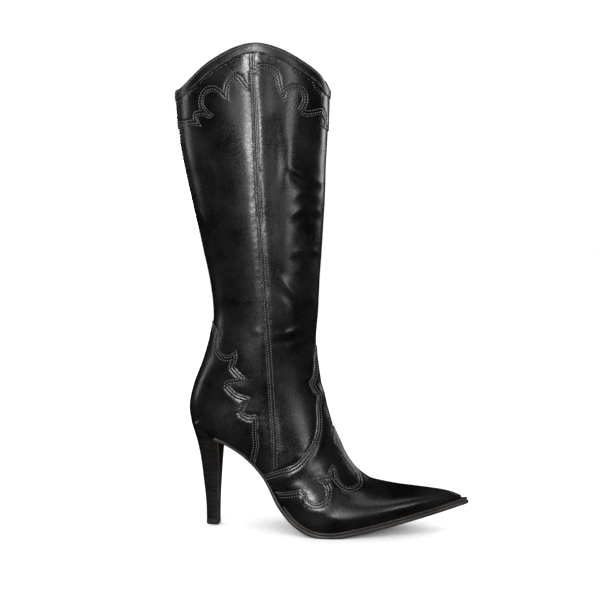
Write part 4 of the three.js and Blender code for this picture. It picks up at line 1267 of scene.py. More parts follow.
def collar_at(xz, side):
    """The collar's piece at each point of the side view, by name."""
    names = names_at(xz, side, "collar_front", "collar_back", IN_ZIP, {"": ABOVE_BAND})
    names[(names == "collar_front") & ~inside(COLLAR_FRONT_REGION, xz)] = ""
    names[(names == "collar_back") & ~inside(COLLAR_BACK_REGION, xz)] = ""
    return names


def collar_edges():
    """The cut edges of the collar's pieces."""
    edges = both_sides({"collar_front": COLLAR_FRONT_EDGE, "collar_back": COLLAR_BACK_EDGE,
                        "band": BAND_FOOT})
    edges["seam", OUTER] = Edge(seam_between(360, 999), OUTER)
    edges["zip", INNER] = Edge(zip_edges(ZIP_GAP, 350), INNER)
    return edges


def collar_lift(name, edges):
    def lift(t, angle, sides):
        points = skin(t, angle, sides)
        gap = nearest_gap(points, sides, edges, [name])
        height = COLLAR_LIFT + lap_height(gap, 0.0) - furrows(gap, ROWS)
        seam = nearest_gap(points, sides, edges, ["seam"])
        if name == "collar_front":
            height += lap_height(seam, 0.6) - furrows(seam, ROWS)
        else:
            height -= pressed(seam)
        band = nearest_gap(points, sides, edges, ["band"])
        height -= 0.7 * (1 - smooth(band, 1.5, 3.0)) + furrows(band, (BAND_ROW,))
        opening = nearest_gap(points, sides, edges, ["zip"])
        return height + lap_height(opening, 0.0) - furrows(opening, ROWS[:1])
    return lift


BINDING_ROW = (1.36, 1.9)  # where its stitches lie: out of the skin, below the topline
# The binding's section: how far out of the skin, how far below the topline.
BINDING_SECTION = [
    (0.1, 8.5), (0.8, 8.6), (1.2, 8.3), (1.45, 7.4), (1.4, 6.3), (1.5, 5.4), (1.55, 3.6),
    (1.45, 2.4), (1.3, 1.9), (1.35, 1.2), (1.0, 0.2), (0.5, -0.45), (-0.7, -0.7), (-1.9, -0.6),
    (-2.9, -0.1), (-3.4, 0.9), (-3.5, 3.0), (-3.5, 7.6), (-3.2, 8.3), (-2.7, 8.3), (-2.6, 4.0),
    (-2.4, 1.8), (-0.2, 1.8), (0.1, 4.0),
]


def topline_path(front):
    """The topline from the side seam round the front or the back to the zip."""
    parts = []
    for side in (OUTER, INNER):
        q = np.vstack(trace(TOPLINE, 1.2)[0])
        x = side_view(q, side)[:, 0]
        if side == OUTER:
            limit = 45.2 if front else 45.8
        else:
            limit = zip_x(445) + (ZIP_GAP if front else -ZIP_GAP)
        kept = q[x > limit] if front else q[x < limit]
        order = np.argsort(side_view(kept, side)[:, 0] * (1 if front else -1))
        kept = kept[order]
        parts.append((kept if side == OUTER else kept[::-1], side))
    q = np.vstack([p for p, _ in parts])
    sides = np.concatenate([np.full(len(p), s) for p, s in parts])
    q, sides = rounded_turn(q, sides, math.pi if front else 0.0)
    steps = np.linalg.norm(np.diff(skin(q[:, 0], q[:, 1], sides), axis=0), axis=1)
    apart = np.concatenate([[True], steps > 0.3])
    return q[apart], sides[apart]


def rounded_turn(q, sides, centre, reach=5):
    """The path with its corner at the boot's centre line rounded off."""
    signed = sides * np.abs(q[:, 1] - centre)
    kernel = np.ones(2 * reach + 1) / (2 * reach + 1)
    padded = np.pad(np.stack([q[:, 0], signed], -1), ((reach, reach), (0, 0)), "reflect",
                    reflect_type="odd")
    t, signed = (np.convolve(padded[:, k], kernel, "valid") for k in range(2))
    return np.stack([t, np.abs(np.abs(signed) - centre)], -1), np.where(signed < 0, OUTER, INNER)


def sweep_binding(front):
    q, sides = topline_path(front)
    points, normal = outer_face(q[:, 0], q[:, 1], sides)
    way = unit(np.gradient(points, axis=0))
    down = np.cross(way, normal)
    down = unit(down * np.sign(-down[:, 2:]))
    rings = np.array([points + normal * out + down * drop for out, drop in BINDING_SECTION])
    rings = rings.transpose(1, 0, 2)
    return rings if front else rings[:, ::-1], points, normal, way, down


LINING_DEPTH, LINING = 3.2, 0.8
IN_VAMP_LINING = region(VAMP_LINING_EDGE, [(300, 135), (300, -20), (50, -20)])
IN_HEEL_LINING = region(HEEL_LINING_EDGE, [(57, -20), (-60, -20)])
IN_LINING_GAP = region(zip_edges(ZIP_GAP + 1), [])


def lining_at(xz, side):
    """The lining's piece at each point of the side view, by name."""
    zones = {"heel_lining": IN_HEEL_LINING, "vamp_lining": IN_VAMP_LINING, "": ABOVE_TOPLINE}
    return names_at(xz, side, "shaft_lining_front", "shaft_lining_back", IN_LINING_GAP, zones)


# ---- Sole ----------------------------------------------------------------------------

SOLE_EDGE = 2.2
WELT_TOP, WELT_THICKNESS, WELT_WIDTH = -0.3, 2.0, 8.0
WELT_ROW = 0.95  # the welt's stitches, from its edge
SOCK_INSET = 8.0
SOCK_HEIGHTS = (6.8, 7.7)  # the sock's lower and upper faces above the sole line
OUTSOLE_FOREPART, OUTSOLE_WAIST = 3.8, 3.0
TOE_OVERHANG = 8.0
BREAST_X = 8.2
WELT_START = BREAK + 9
SOLE_T = np.linspace(BREAK, LAST, 721)
SOLE_XZ = section(SOLE_T)[0]
SOLE_ARC = lengths_along(SOLE_XZ)


def sole_place(arc):
    """Middle line, up direction, flat half width and t of the sole at arc lengths."""
    x, z = np.interp(arc, SOLE_ARC, SOLE_XZ[:, 0]), np.interp(arc, SOLE_ARC, SOLE_XZ[:, 1])
    slope = np.gradient(SOLE_XZ, SOLE_ARC, axis=0)
    way = unit(np.stack([np.interp(arc, SOLE_ARC, slope[:, k]) for k in range(2)], -1))
    past = np.maximum(arc - SOLE_ARC[-1], 0)
    x, z = x + way[:, 0] * past, z + way[:, 1] * past
    t = np.interp(arc, SOLE_ARC, SOLE_T)
    swing = toe_swing(x)
    up = np.stack([-way[:, 1], np.zeros(len(x)), way[:, 0]], -1)
    return np.stack([x, swing, z], -1), up, section(t)[3], t


def forepart(t):
    return smooth(t, WELT_START - 2, WELT_START)


def sole_half_width(arc):
    _, _, flat, t = sole_place(arc)
    half = flat + 0.8 + (SOLE_EDGE - 0.8) * forepart(t)
    past = np.clip((arc - SOLE_ARC[-1]) / TOE_OVERHANG, 0, 1)
    return half * (1 - past ** 1.6) ** 0.9


def narrowed(inset):
    """The sole's half width less an inset."""
    return lambda arc: sole_half_width(arc) - inset


def level(height):
    """A height above the sole line that stays the same along it."""
    return lambda t: np.full(len(t), height)


def outsole_top(t):
    return WELT_TOP - forepart(t) * (WELT_THICKNESS + 0.3)


def outsole_bottom(t):
    return outsole_top(t) - (OUTSOLE_WAIST + (OUTSOLE_FOREPART - OUTSOLE_WAIST) * forepart(t))


def inward_of(outline):
    """The direction into a closed outline at each of its points."""
    way = unit(np.roll(outline, -1, 0) - np.roll(outline, 1, 0))
    inward = np.stack([-way[:, 1], way[:, 0]], -1)
    return inward * (-1 if ((outline.mean(0) - outline) * inward).sum() < 0 else 1)


def flat_net(outline, hole=None, spacing=3.5, rings=(0.35, 0.9)):
    """Triangles of a flat outline, with rings of points just inside it."""
    points, links = [], []
    for loop in [outline] + ([hole] if hole is not None else []):
        start = len(points)
        points += loop.tolist()
        links += [(start + k, start + (k + 1) % len(loop)) for k in range(len(loop))]
    inward = inward_of(outline)
    tree = tree_of(flat_3d(outline))
    low, high = outline.min(0), outline.max(0)
    x, y = np.meshgrid(np.arange(low[0], high[0], spacing), np.arange(low[1], high[1], spacing))
    loose = [np.column_stack([x.ravel(), y.ravel()])]
    limits = [spacing * 0.6]
    for ring in rings:
        loose.append(outline + inward * ring)
        limits.append(ring * 0.9)
    for more, limit in zip(loose, limits):
        kept = inside(outline, more)
        if hole is not None:
            kept &= ~inside(hole, more)
        kept &= gaps_to(flat_3d(more), tree) > limit
        points += more[kept].tolist()
    uv, triangles, area, middle = triangulated(points, links, 1e-4)
    good = inside(outline, middle) & (area > 1e-5)
    if hole is not None:
        good &= ~inside(hole, middle)
    return uv, triangles[good], gaps_to(flat_3d(uv), tree)


def sole_outline(start, half_width, end_arc, spacing=1.6):
    arcs = np.linspace(start, end_arc - 0.02, int((end_arc - start) / spacing) + 2)
    tip = end_arc - (end_arc - arcs[-2]) * np.array([0.75, 0.5, 0.3, 0.15, 0.05])
    arcs = np.concatenate([arcs[:-1], tip])
    half = np.maximum(half_width(arcs), 0.05)
    back = np.linspace(-half[0], half[0], 16)[1:-1]
    return np.vstack([
        np.stack([arcs, half], -1),
        np.stack([arcs, -half], -1)[::-1],
        np.stack([np.full(len(back), start), back], -1),
    ])


def sole_slab(outline, low, high, hole=None, rounding=0.5, wall=(), ground=False):
    """A slab that follows the sole, with softened edges, from its outline in arc and y."""
    uv, triangles, gap = flat_net(outline, hole)
    place, up, _, t = sole_place(uv[:, 0])
    soft = rounding * (1 - np.sqrt(1 - np.clip(1 - gap / 0.9, 0, 1) ** 2))
    middle = place + np.array([0, 1, 0]) * uv[:, 1:]
    top = middle + up * (high(t) - soft)[:, None]
    bottom = middle + up * (low(t) + soft)[:, None]
    if ground:
        bottom[:, 2] = np.maximum(bottom[:, 2], 0)
    return shell(top, bottom, triangles, wall)


# ---- Heel ----------------------------------------------------------------------------

# Height and value: the heel's back, its half width and its front.
HEEL_BACK = np.array([
    (0, -5.5), (20, -5.8), (42, -8), (71, -11.8), (88, -15.6), (97, -18.2), (106, -20),
], float)
HEEL_HALF_WIDTH = np.array([
    (0, 5.5), (20, 6.2), (45, 8.4), (66, 12), (80, 17), (90, 22), (97, 25), (106, 26),
], float)
HEEL_BREAST = np.array([(0, 5.5), (28, 6), (66, 7.6), (90, BREAST_X), (106, BREAST_X)], float)
LIFT_PITCH = 5.2
LIFT_GROOVE = 0.05
TIP_TOP = 5.8  # the height where the heel's leather begins, above the rubber tip
HEEL_AROUND = 40
HEEL_ROUNDNESS = 0.8  # below 1 the heel's back is flatter than a half ellipse
SEAT_T = np.linspace(BREAK, BREAK + 5, 200)
SEAT_XZ = section(SEAT_T)[0]


def lookup(table, z):
    """A smooth value from a short table of height and value."""
    slope = np.gradient(table[:, 1], table[:, 0])
    i = np.clip(np.searchsorted(table[:, 0], z) - 1, 0, len(table) - 2)
    span = table[i + 1, 0] - table[i, 0]
    f = np.clip((z - table[i, 0]) / span, 0, 1)
    a, b, sa, sb = table[i, 1], table[i + 1, 1], slope[i] * span, slope[i + 1] * span
    return ((2 * f ** 3 - 3 * f ** 2 + 1) * a + (f ** 3 - 2 * f ** 2 + f) * sa
            + (3 * f ** 2 - 2 * f ** 3) * b + (f ** 3 - f ** 2) * sb)


def heel_point(z, angle, inset=0.0):
    """A point of the heel's D-shaped section: angle from -90 to 90 degrees round the back."""
    breast, back = lookup(HEEL_BREAST, z), lookup(HEEL_BACK, z) + inset
    half = lookup(HEEL_HALF_WIDTH, z) - inset
    x = breast - (breast - back) * np.cos(angle) ** HEEL_ROUNDNESS
    return x, half * np.sin(angle)


def seat_height(x):
    return np.interp(x, SEAT_XZ[:, 0], SEAT_XZ[:, 1]) - 0.3


def heel_cover():
    """The stacked leather round the heel: a curved sheet with a fine line at each lift."""
    angles = np.linspace(-math.pi / 2 + 1e-4, math.pi / 2 - 1e-4, HEEL_AROUND)
    tops = np.full(HEEL_AROUND, 92.0)
    for _ in range(12):
        tops = seat_height(heel_point(tops, angles)[0])
    low, level_top = TIP_TOP, tops.min() - 1.0
    heights = [low]
    for z in np.arange(low + LIFT_PITCH, level_top, LIFT_PITCH):
        heights += [z - 1.8, z - 0.35, z, z + 0.35]
    rows = []
    for z in heights:
        lifts = (z - low) / LIFT_PITCH
        groove = LIFT_GROOVE if abs(lifts - round(lifts)) < 0.01 and z > low else 0
        x, y = heel_point(np.full(HEEL_AROUND, z), angles, groove)
        rows.append(np.stack([x, y, np.full(HEEL_AROUND, z)], -1))
    for f in np.linspace(0, 1, 9)[1:]:
        z = level_top + (tops - level_top) * f
        x, y = heel_point(z, angles)
        rows.append(np.stack([x, y, z], -1))
    outer = np.array(rows)
    thick = 1.0
    toward = unit(np.stack([np.ones(HEEL_AROUND), -np.sin(angles) * 1.2, np.zeros(HEEL_AROUND)], -1))
    inner = outer + toward * thick * np.clip(np.cos(angles), 0.05, 1)[:, None] ** 0.5
    return grid_shell(outer, inner)


def grid_shell(outer, inner):
    """A closed sheet from two matching grids of points."""
    rows, columns = outer.shape[:2]
    i, j = np.meshgrid(np.arange(rows - 1), np.arange(columns - 1), indexing="ij")
    a = (i * columns + j).ravel()
    quads = np.stack([a, a + 1, a + columns + 1, a + columns], -1)
    triangles = np.vstack([quads[:, [0, 1, 2]], quads[:, [0, 2, 3]]])
    return shell(outer.reshape(-1, 3), inner.reshape(-1, 3), triangles)


def breast_strip():
    """The leather down the heel's front face."""
    top = seat_height(BREAST_X) - OUTSOLE_WAIST - 0.9
    heights = np.linspace(TIP_TOP, top, 26)
    rings = []
    for z in heights:
        near = lookup(HEEL_BREAST, z) + 0.3
        half = lookup(HEEL_HALF_WIDTH, z) - 0.5
        far = near + 1.2
        rings.append([(near, -half, z), (far - 0.35, -half, z), (far, -half + 0.35, z),
                      (far + 0.1, 0, z), (far, half - 0.35, z), (far - 0.35, half, z), (near, half, z)])
    return loft(np.array(rings))


def top_lift():
    """The rubber heel tip, its lower edge rounded and its tread flat."""
    angles = np.linspace(-math.pi / 2 + 1e-4, math.pi / 2 - 1e-4, 30)
    rings = []
    for z, inset in ((0, 0.7), (0.15, 0.3), (0.5, 0.05), (1.0, 0), (4.9, 0), (5.3, 0.1), (5.5, 0.35)):
        x, y = heel_point(np.full(30, max(z, 0.01)), angles, inset)
        ring = np.stack([x, y, np.full(30, z)], -1)
        breast, half = ring[-1, 0], ring[-1, 1]
        ahead = [(breast + 1.5 - inset, half, z), (breast + 1.5 - inset, -half, z)]
        rings.append(np.vstack([ring, ahead]))
    return loft(np.array(rings))


# ---- Zip -----------------------------------------------------------------------------

ZIP_TOP, ZIP_BOTTOM = 436.0, 124.0
COIL_PITCH = 1.5
TAPE_DEPTHS = (1.6, 2.3)  # faces of the tape below the skin
TAPE_CORD = 12.4  # the thick line along the tape's outer edge, from the zip's middle
GUARD_DEPTHS = (4.3, 5.3)  # faces of the flap below the skin
PIN = (0, 4.1, 2.4)  # the pull's hinge pin in the slider's own axes


def zip_point(z):
    """The middle of the zip at a height."""
    return np.array([zip_x(z), ANKLE_HALF_WIDTH + (z - ANKLE_HEIGHT) * LEG_FLARE, z])


def zip_frame(z):
    """The zip's own axes at a height: ahead across it, out of the leg, up along it."""
    up = unit(zip_point(ZIP_TOP) - zip_point(ZIP_BOTTOM))
    out = unit(np.array([0, 1, 0]) - up * up[1])
    return zip_point(z), np.cross(out, up), out, up


def in_zip_frame(points, z):
    """Points given as ahead, out, up, put in place at a height of the zip."""
    origin, ahead, out, up = zip_frame(z)
    return origin + points @ np.array([ahead, out, up])


def skin_by_zip(heights, across):
    """Skin points, their normals and their way across, in rows beside the zip's middle."""
    x = zip_x(heights)[:, None] + across[None]
    xz = np.stack([x, np.broadcast_to(heights[:, None], x.shape)], -1).reshape(-1, 2)
    t, along = locate(xz)
    angle = angle_at(t, along)
    sides = np.full(len(t), INNER)
    return skin(t, angle, sides), normals(t, angle, sides), np.tile(across, len(heights))


def tape(side):
    """One half of the zip's tape, under the leather's edge."""
    heights = np.linspace(ZIP_BOTTOM, ZIP_TOP, 105)
    across = np.array([0.15, 0.6, 1.5, 3, 5, 7.5, 10, 12.4, 13]) * side
    if side < 0:
        across = across[::-1]
    points, normal, places = skin_by_zip(heights, across)
    cord = np.exp(-((np.abs(places) - TAPE_CORD) ** 2)) * 0.25
    high, low = TAPE_DEPTHS
    outer = points + normal * (cord - high)[:, None]
    inner = points - normal * low
    shape = (len(heights), len(across), 3)
    return grid_shell(outer.reshape(shape)[:, ::-1], inner.reshape(shape)[:, ::-1])


def guard():
    """The soft flap behind the zip that keeps it off the leg."""
    heights = np.linspace(ZIP_BOTTOM, 418, 80)
    ahead, behind = 9, -14
    across = np.linspace(ahead, behind, 13)
    points, normal, places = skin_by_zip(heights, across)
    edge = np.minimum(np.abs(places - ahead), np.abs(places - behind))
    soft = 0.35 * np.exp(-edge)
    shape = (len(heights), len(across), 3)
    high, low = GUARD_DEPTHS
    outer = points - normal * (high + soft)[:, None]
    inner = points - normal * (low - soft)[:, None]
    return grid_shell(outer.reshape(shape), inner.reshape(shape))


def tube(path, radius, sides=5, closed=False):
    """A thin tube along a path."""
    way = unit(np.gradient(path, axis=0))
    side = unit(np.cross(way, np.array([0.3, 0.2, 1.0])))
    other = np.cross(way, side)
    rounds = np.linspace(0, 2 * math.pi, sides, endpoint=False)
    rings = (path[:, None] + side[:, None] * (np.cos(rounds) * radius)[None, :, None]
             + other[:, None] * (np.sin(rounds) * radius)[None, :, None])
    return loft(rings, closed)


def coil(side):
    """One row of the zip's nylon coil, wound flat, on the CAD coil's own length."""
    low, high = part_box("zip_coil_front" if side > 0 else "zip_coil_back")
    length = (high.z - low.z) / MM - 1.0
    turns = int(length / COIL_PITCH)
    a = np.linspace(0, 2 * math.pi * turns, turns * 12 + 1)
    middle_z = (high.z + low.z) / 2 / MM
    ahead = side * (1.45 - 1.02 * np.sign(np.cos(a)) * np.abs(np.cos(a)) ** 0.8)
    out = -0.1 + 0.72 * np.sign(np.sin(a)) * np.abs(np.sin(a)) ** 0.8
    along = (a / a[-1] - 0.5) * length * 0.995 + (COIL_PITCH / 2 if side > 0 else 0)
    path = in_zip_frame(np.stack([ahead, out, along], -1), middle_z)
    return tube(path, 0.28, 6)


def rounded_plate(outline, low, high, bevel, axis_order=(0, 1, 2)):
    """A flat plate with bevelled edges from an outline, its thickness along the third axis."""
    rings = []
    inward = inward_of(outline)
    for height, inset in ((low, bevel), (low + bevel * 0.3, bevel * 0.3), (low + bevel, 0),
                          (high - bevel, 0), (high - bevel * 0.3, bevel * 0.3), (high, bevel)):
        flat = outline + inward * inset
        rings.append(np.column_stack([flat, np.full(len(flat), height)]))
    points, faces = loft(np.array(rings))
    return points[:, list(axis_order)], faces


def arc(cx, cy, radius, start, end, count):
    a = np.radians(np.linspace(start, end, count))
    return np.stack([cx + radius * np.cos(a), cy + radius * np.sin(a)], -1)


def slider_parts():
    """The slider: a waisted upper plate, side flanges, two ears and a pin."""
    body = np.vstack([arc(0, 3.2, 3.4, 20, 160, 14), arc(-3.0, -3.4, 1.1, 180, 270, 7),
                      arc(3.0, -3.4, 1.1, 270, 360, 7)])
    parts = [rounded_plate(body, 1.2, 2.3, 0.3, (0, 2, 1))]
    for side in (-1, 1):
        flange = np.array([(3.2, -4.4), (4.1, -4.0), (4.1, 3.6), (3.2, 4.4)]) * [side, 1]
        parts.append(rounded_plate(flange, -0.2, 1.4, 0.2, (0, 2, 1)))
        ear = np.vstack([arc(2.4, 3.9, 1.1, 0, 180, 10), [(1.2, 2.2), (3.6, 2.2)]])
        parts.append(rounded_plate(ear, side * 2.5 - 0.45, side * 2.5 + 0.45, 0.15, (2, 1, 0)))
    pin = np.stack([np.linspace(-2.9, 2.9, 9), np.full(9, PIN[1]), np.full(9, PIN[2])], -1)
    parts.append(tube(pin, 0.6, 12))
    return joined(parts)


def pull_parts():
    """The pull: an eye round the slider's pin and a tapered tab with a raised rim."""
    ring = arc(0, 0, 1.2, 0, 360, 25)[:-1]
    rings = []
    for a in np.linspace(0, 2 * math.pi, 12, endpoint=False):
        swell = np.array([math.cos(a) * 1.7, math.sin(a) * 0.28])
        circle = np.stack([np.full(24, swell[0]), *(ring * (1 + swell[1] / 1.2)).T], -1)
        rings.append(circle)
    points, faces = loft(np.array(rings), closed=True)
    tab = np.vstack([[(-1.7, -1.3), (1.7, -1.3)], [(2.4, -8), (3.1, -15)],
                     arc(0, -20, 3.8, 32, -212, 26), [(-3.1, -15), (-2.4, -8)]])
    plate = rounded_plate(tab, -0.5, 0.5, 0.2, (0, 2, 1))
    inner = np.vstack([arc(0, -19.6, 2.3, 30, -210, 20), [(-1.2, -8), (1.2, -8)]])
    raised = rounded_plate(inner, -0.66, 0.66, 0.16, (0, 2, 1))
    return joined([(points, faces), plate, raised])


# ---- Settings ------------------------------------------------------------------------


class LeatherSettings(bpy.types.PropertyGroup):
    """Sizes and colours of the boot's leather and thread."""

    dark: StringProperty(name="Dark dye", description="Deepest leather colour, sRGB hex", default="#070606")
    light: StringProperty(name="Light dye", description="Palest leather colour, sRGB hex", default="#131111")
    stitch_pitch: FloatProperty(name="Stitch pitch", description="Distance from stitch to stitch",
                                default=0.0024, unit="LENGTH")
    stitch_length: FloatProperty(name="Stitch length", description="Length of thread that shows",
                                 default=0.0015, unit="LENGTH")
    thread_radius: FloatProperty(name="Thread radius", description="Half the thread's thickness",
                                 default=0.00033, unit="LENGTH")
    net_spacing: FloatProperty(name="Net spacing", description="Distance between the mesh's points",
                               default=0.0027, unit="LENGTH")


class StageSettings(bpy.types.PropertyGroup):
    """Camera and lights of the plain studio."""

    azimuth: FloatProperty(name="Azimuth", description="Camera angle round the boot",
                           default=math.radians(7), subtype="ANGLE")
    elevation: FloatProperty(name="Elevation", description="Camera angle above the floor",
                             default=math.radians(4), subtype="ANGLE")
    distance: FloatProperty(name="Distance", description="Camera to the middle of the boot",
                            default=1.0, unit="LENGTH")
    lens: FloatProperty(name="Lens", description="Focal length in millimetres", default=63.6)
    key_power: FloatProperty(name="Key", description="Power of the main softbox in watts", default=22.0)


# ---- Operators -----------------------------------------------------------------------


class BOOT_OT_upper(bpy.types.Operator):
    """Cut and sew the vamp, instep piece, counter and the two shaft pieces"""

    bl_idname = "boot.upper"
    bl_label = "Upper"

    def execute(self, context):
        settings = context.scene.boot_leather
        edges = upper_edges()
        names = [(name, edge) for name, laps in UPPER.items() for edge in laps]
        support = support_rows(edges, names, piece_at)
        net = Net(list(edges.values()), support, piece_at, spacing=settings.net_spacing / MM)
        for name, laps in UPPER.items():
            lift = upper_lift(name, edges)
            leather_piece(name, net, lift, edges, laps, LEATHER, finish("calf"), [name])
            rows = []
            for edge in laps:
                distances = ROWS[:1] if edge == "zip" else ROWS
                rows += rows_on(name, edge, edges, distances, piece_at, UNDER.get(name, []))
            if rows:
                sew(f"{name}_stitching", rows, lift, settings, finish("thread"))
        return {"FINISHED"}


class BOOT_OT_collars(bpy.types.Operator):
    """Cut and sew the scalloped collar pieces round the top of the leg"""

    bl_idname = "boot.collars"
    bl_label = "Collars"

    def execute(self, context):
        settings = context.scene.boot_leather
        edges = collar_edges()
        names = [("collar_front", "collar_front"), ("collar_back", "collar_back"),
                 ("collar_front", "seam"), ("collar_front", "zip"), ("collar_back", "zip")]
        support = support_rows(edges, names, collar_at)
        net = Net(list(edges.values()), support, collar_at, 0.0, COLLAR_DEPTH_T,
                  settings.net_spacing / MM)
        for name in ("collar_front", "collar_back"):
            lift = collar_lift(name, edges)
            cuts = [name, "seam", "zip"] if name == "collar_front" else [name, "zip"]
            leather_piece(name, net, lift, edges, cuts, COLLAR_LEATHER, finish("calf"),
                          [name])
            rows = rows_on(name, name, edges, ROWS, collar_at, ["seam"])
            rows += rows_on(name, "band", edges, (BAND_ROW,), collar_at, ["seam", name])
            rows += rows_on(name, "zip", edges, ROWS[:1], collar_at, [name])
            if name == "collar_front":
                rows += rows_on(name, "seam", edges, ROWS, collar_at, [name])
            sew(f"{name}_stitching", rows, lift, settings, finish("thread"))
        return {"FINISHED"}


class BOOT_OT_binding(bpy.types.Operator):
    """Fold and sew the binding over the topline"""

    bl_idname = "boot.binding"
    bl_label = "Topline binding"

    def execute(self, context):
        settings = context.scene.boot_leather
        for name, front in (("front", True), ("back", False)):
            rings, points, normal, way, down = sweep_binding(front)
            marks = np.tile([0.5 if 1 <= k <= 2 or 10 <= k <= 12 else 0.0
                             for k in range(len(BINDING_SECTION))], len(rings))
            if not front:
                marks = marks[::-1]
            make_piece(f"topline_binding_{name}", loft(rings), finish("binding"),
                       [f"binding_{name}"], marks=marks)
            gap = lengths_along(points)
            count = int(gap[-1] / (settings.stitch_pitch / MM))
            even = (np.arange(count) + 0.5) * gap[-1] / count
            out, drop = BINDING_ROW
            place, along, up = (
                np.stack([np.interp(even, gap, rows[:, k]) for k in range(3)], -1)
                for rows in (points + normal * out + down * drop, way, normal)
            )
            row = stitches(place, unit(along), unit(up), settings.stitch_length / MM,
                           settings.thread_radius / MM)
            make_piece(f"topline_{name}_stitching", row, finish("thread"), sharp=80)
        return {"FINISHED"}


class BOOT_OT_linings(bpy.types.Operator):
    """Line the leg and the foot"""

    bl_idname = "boot.linings"
    bl_label = "Linings"

    def execute(self, context):
        edges = both_sides({"vamp": VAMP_LINING_EDGE, "heel": HEEL_LINING_EDGE, "topline": TOPLINE})
        edges["seam", OUTER] = Edge(SIDE_SEAM, OUTER)
        edges["zip", INNER] = Edge(zip_edges(ZIP_GAP + 1), INNER)
        net = Net(list(edges.values()), [], lining_at, spacing=4.5, t_high=LAST - 2)
        for name in ("vamp_lining", "heel_lining", "shaft_lining_front", "shaft_lining_back"):
            q, sides, triangles = net.piece(name)
            t, angle = q[:, 0], q[:, 1]
            points = skin(t, angle, sides)
            drop = nearest_gap(points, sides, edges, ["topline"])
            room = np.minimum(1, np.interp(t, GRID_T, HALF_GIRTH) / 60)
            depth = (LINING_DEPTH - 0.7 * (1 - smooth(drop, 6, 40))) * room
            normal = normals(t, angle, sides)
            outer = points - normal * depth[:, None]
            make_piece(f"{name}_leather", shell(outer, outer - normal * LINING, triangles),
                       finish("lining"), [name])
        return {"FINISHED"}


class BOOT_OT_sole(bpy.types.Operator):
    """Build the outsole, the welt with its stitches, and the sock"""

    bl_idname = "boot.sole"
    bl_label = "Sole"

    def execute(self, context):
        settings = context.scene.boot_leather
        end = SOLE_ARC[-1] + TOE_OVERHANG
        breast = np.interp(BREAST_X, SOLE_XZ[:, 0], SOLE_ARC)
        side_wall = ((0.15, 0.18), (0.5, 0.28), (0.85, 0.18))
        outline = sole_outline(breast, sole_half_width, end)
        make_piece("outsole_leather", sole_slab(outline, outsole_bottom, outsole_top, wall=side_wall,
                                                ground=True),
                   finish("sole"), ["outsole"])
        start = np.interp(WELT_START, SOLE_T, SOLE_ARC)
        rim = sole_outline(start, sole_half_width, end)
        hole = sole_outline(start + 2, narrowed(WELT_WIDTH), SOLE_ARC[-1] - 22, 2.5)
        welt = sole_slab(rim, level(WELT_TOP - WELT_THICKNESS), level(WELT_TOP), hole, 0.35,
                         ((0.2, 0.1), (0.8, 0.1)))
        make_piece("welt_leather", welt, finish("sole"), ["welt"])
        self.sew_welt(start, settings)
        sock = sole_outline(14, narrowed(SOCK_INSET), SOLE_ARC[-1] - 30, 4)
        low, high = SOCK_HEIGHTS
        make_piece("sock_leather", sole_slab(sock, level(low), level(high), rounding=0.2),
                   finish("lining"), ["sock_liner"])
        return {"FINISHED"}

    def sew_welt(self, start, settings):
        """A row of stitches along the top of the welt's edge."""
        pitch = settings.stitch_pitch / MM * 1.2
        found = []
        for side in (-1, 1):
            arcs = np.arange(start + 4, SOLE_ARC[-1] + 3, pitch)
            place, up, _, t = sole_place(arcs)
            y = side * narrowed(WELT_ROW)(arcs)
            place = place + np.array([0, 1, 0]) * y[:, None] + up * (WELT_TOP - 0.02)
            way = unit(np.gradient(place, axis=0))
            found.append(stitches(place, way, up, settings.stitch_length / MM * 1.1,
                                  settings.thread_radius / MM))
        make_piece("welt_stitching", joined(found), finish("dark_thread"), sharp=80)


class BOOT_OT_heel(bpy.types.Operator):
    """Build the stacked heel cover, the breast strip and the rubber tip"""

    bl_idname = "boot.heel"
    bl_label = "Heel"

    def execute(self, context):
        make_piece("heel_stack_leather", heel_cover(), finish("stack"), ["heel_stack_cover"])
        make_piece("breast_leather", breast_strip(), finish("sole"), ["breast_cover"])
        make_piece("top_lift_rubber", top_lift(), finish("rubber"), ["top_lift"])
        return {"FINISHED"}


class BOOT_OT_zip(bpy.types.Operator):
    """Build the zip: tapes, coils, stops, guard, slider and pull"""

    bl_idname = "boot.zip"
    bl_label = "Zip"

    def execute(self, context):
        for name, side in (("front", 1), ("back", -1)):
            make_piece(f"zip_tape_{name}_woven", tape(side), finish("tape"), [f"zip_tape_{name}"])
            make_piece(f"zip_coil_{name}_nylon", coil(side), finish("nylon"), [f"zip_coil_{name}"],
                       sharp=80)
        make_piece("zip_guard_leather", guard(), finish("lining"), ["zip_guard"])
        for name in ("zip_top_stop_front", "zip_top_stop_back", "zip_bottom_stop"):
            dress(name, "nickel")
        slider_z = self.slider_height()
        points, faces = slider_parts()
        make_piece("zip_slider_body", (in_zip_frame(points, slider_z), faces), finish("nickel"),
                   ["zip_slider"], "zip_slider", sharp=35)
        points, faces = pull_parts()
        hinge = in_zip_frame(np.array([PIN]), slider_z)[0]
        ahead = zip_frame(slider_z)[1]
        plumb = unit(np.array([0, 0, 1]) - ahead * ahead[2])
        axes = np.array([ahead, np.cross(plumb, ahead), plumb])
        make_piece("zip_pull_tab", (hinge + points @ axes, faces), finish("nickel"),
                   ["zip_pull"], "zip_pull", sharp=35)
        return {"FINISHED"}

    def slider_height(self):
        """The slider's middle, from where the CAD slider is."""
        low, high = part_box("zip_slider")
        return (low.z + high.z) / 2 / MM


def dress(node, look):
    """Gives a CAD node its material, and softens its edges."""
    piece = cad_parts[node]
    piece.data.materials.clear()
    piece.data.materials.append(finish(look))
    bevel = piece.modifiers.new("softened edges", "BEVEL")
    bevel.width = 0.0002
    bevel.segments = 2
    bevel.limit_method = "ANGLE"
    bevel.angle_limit = math.radians(50)


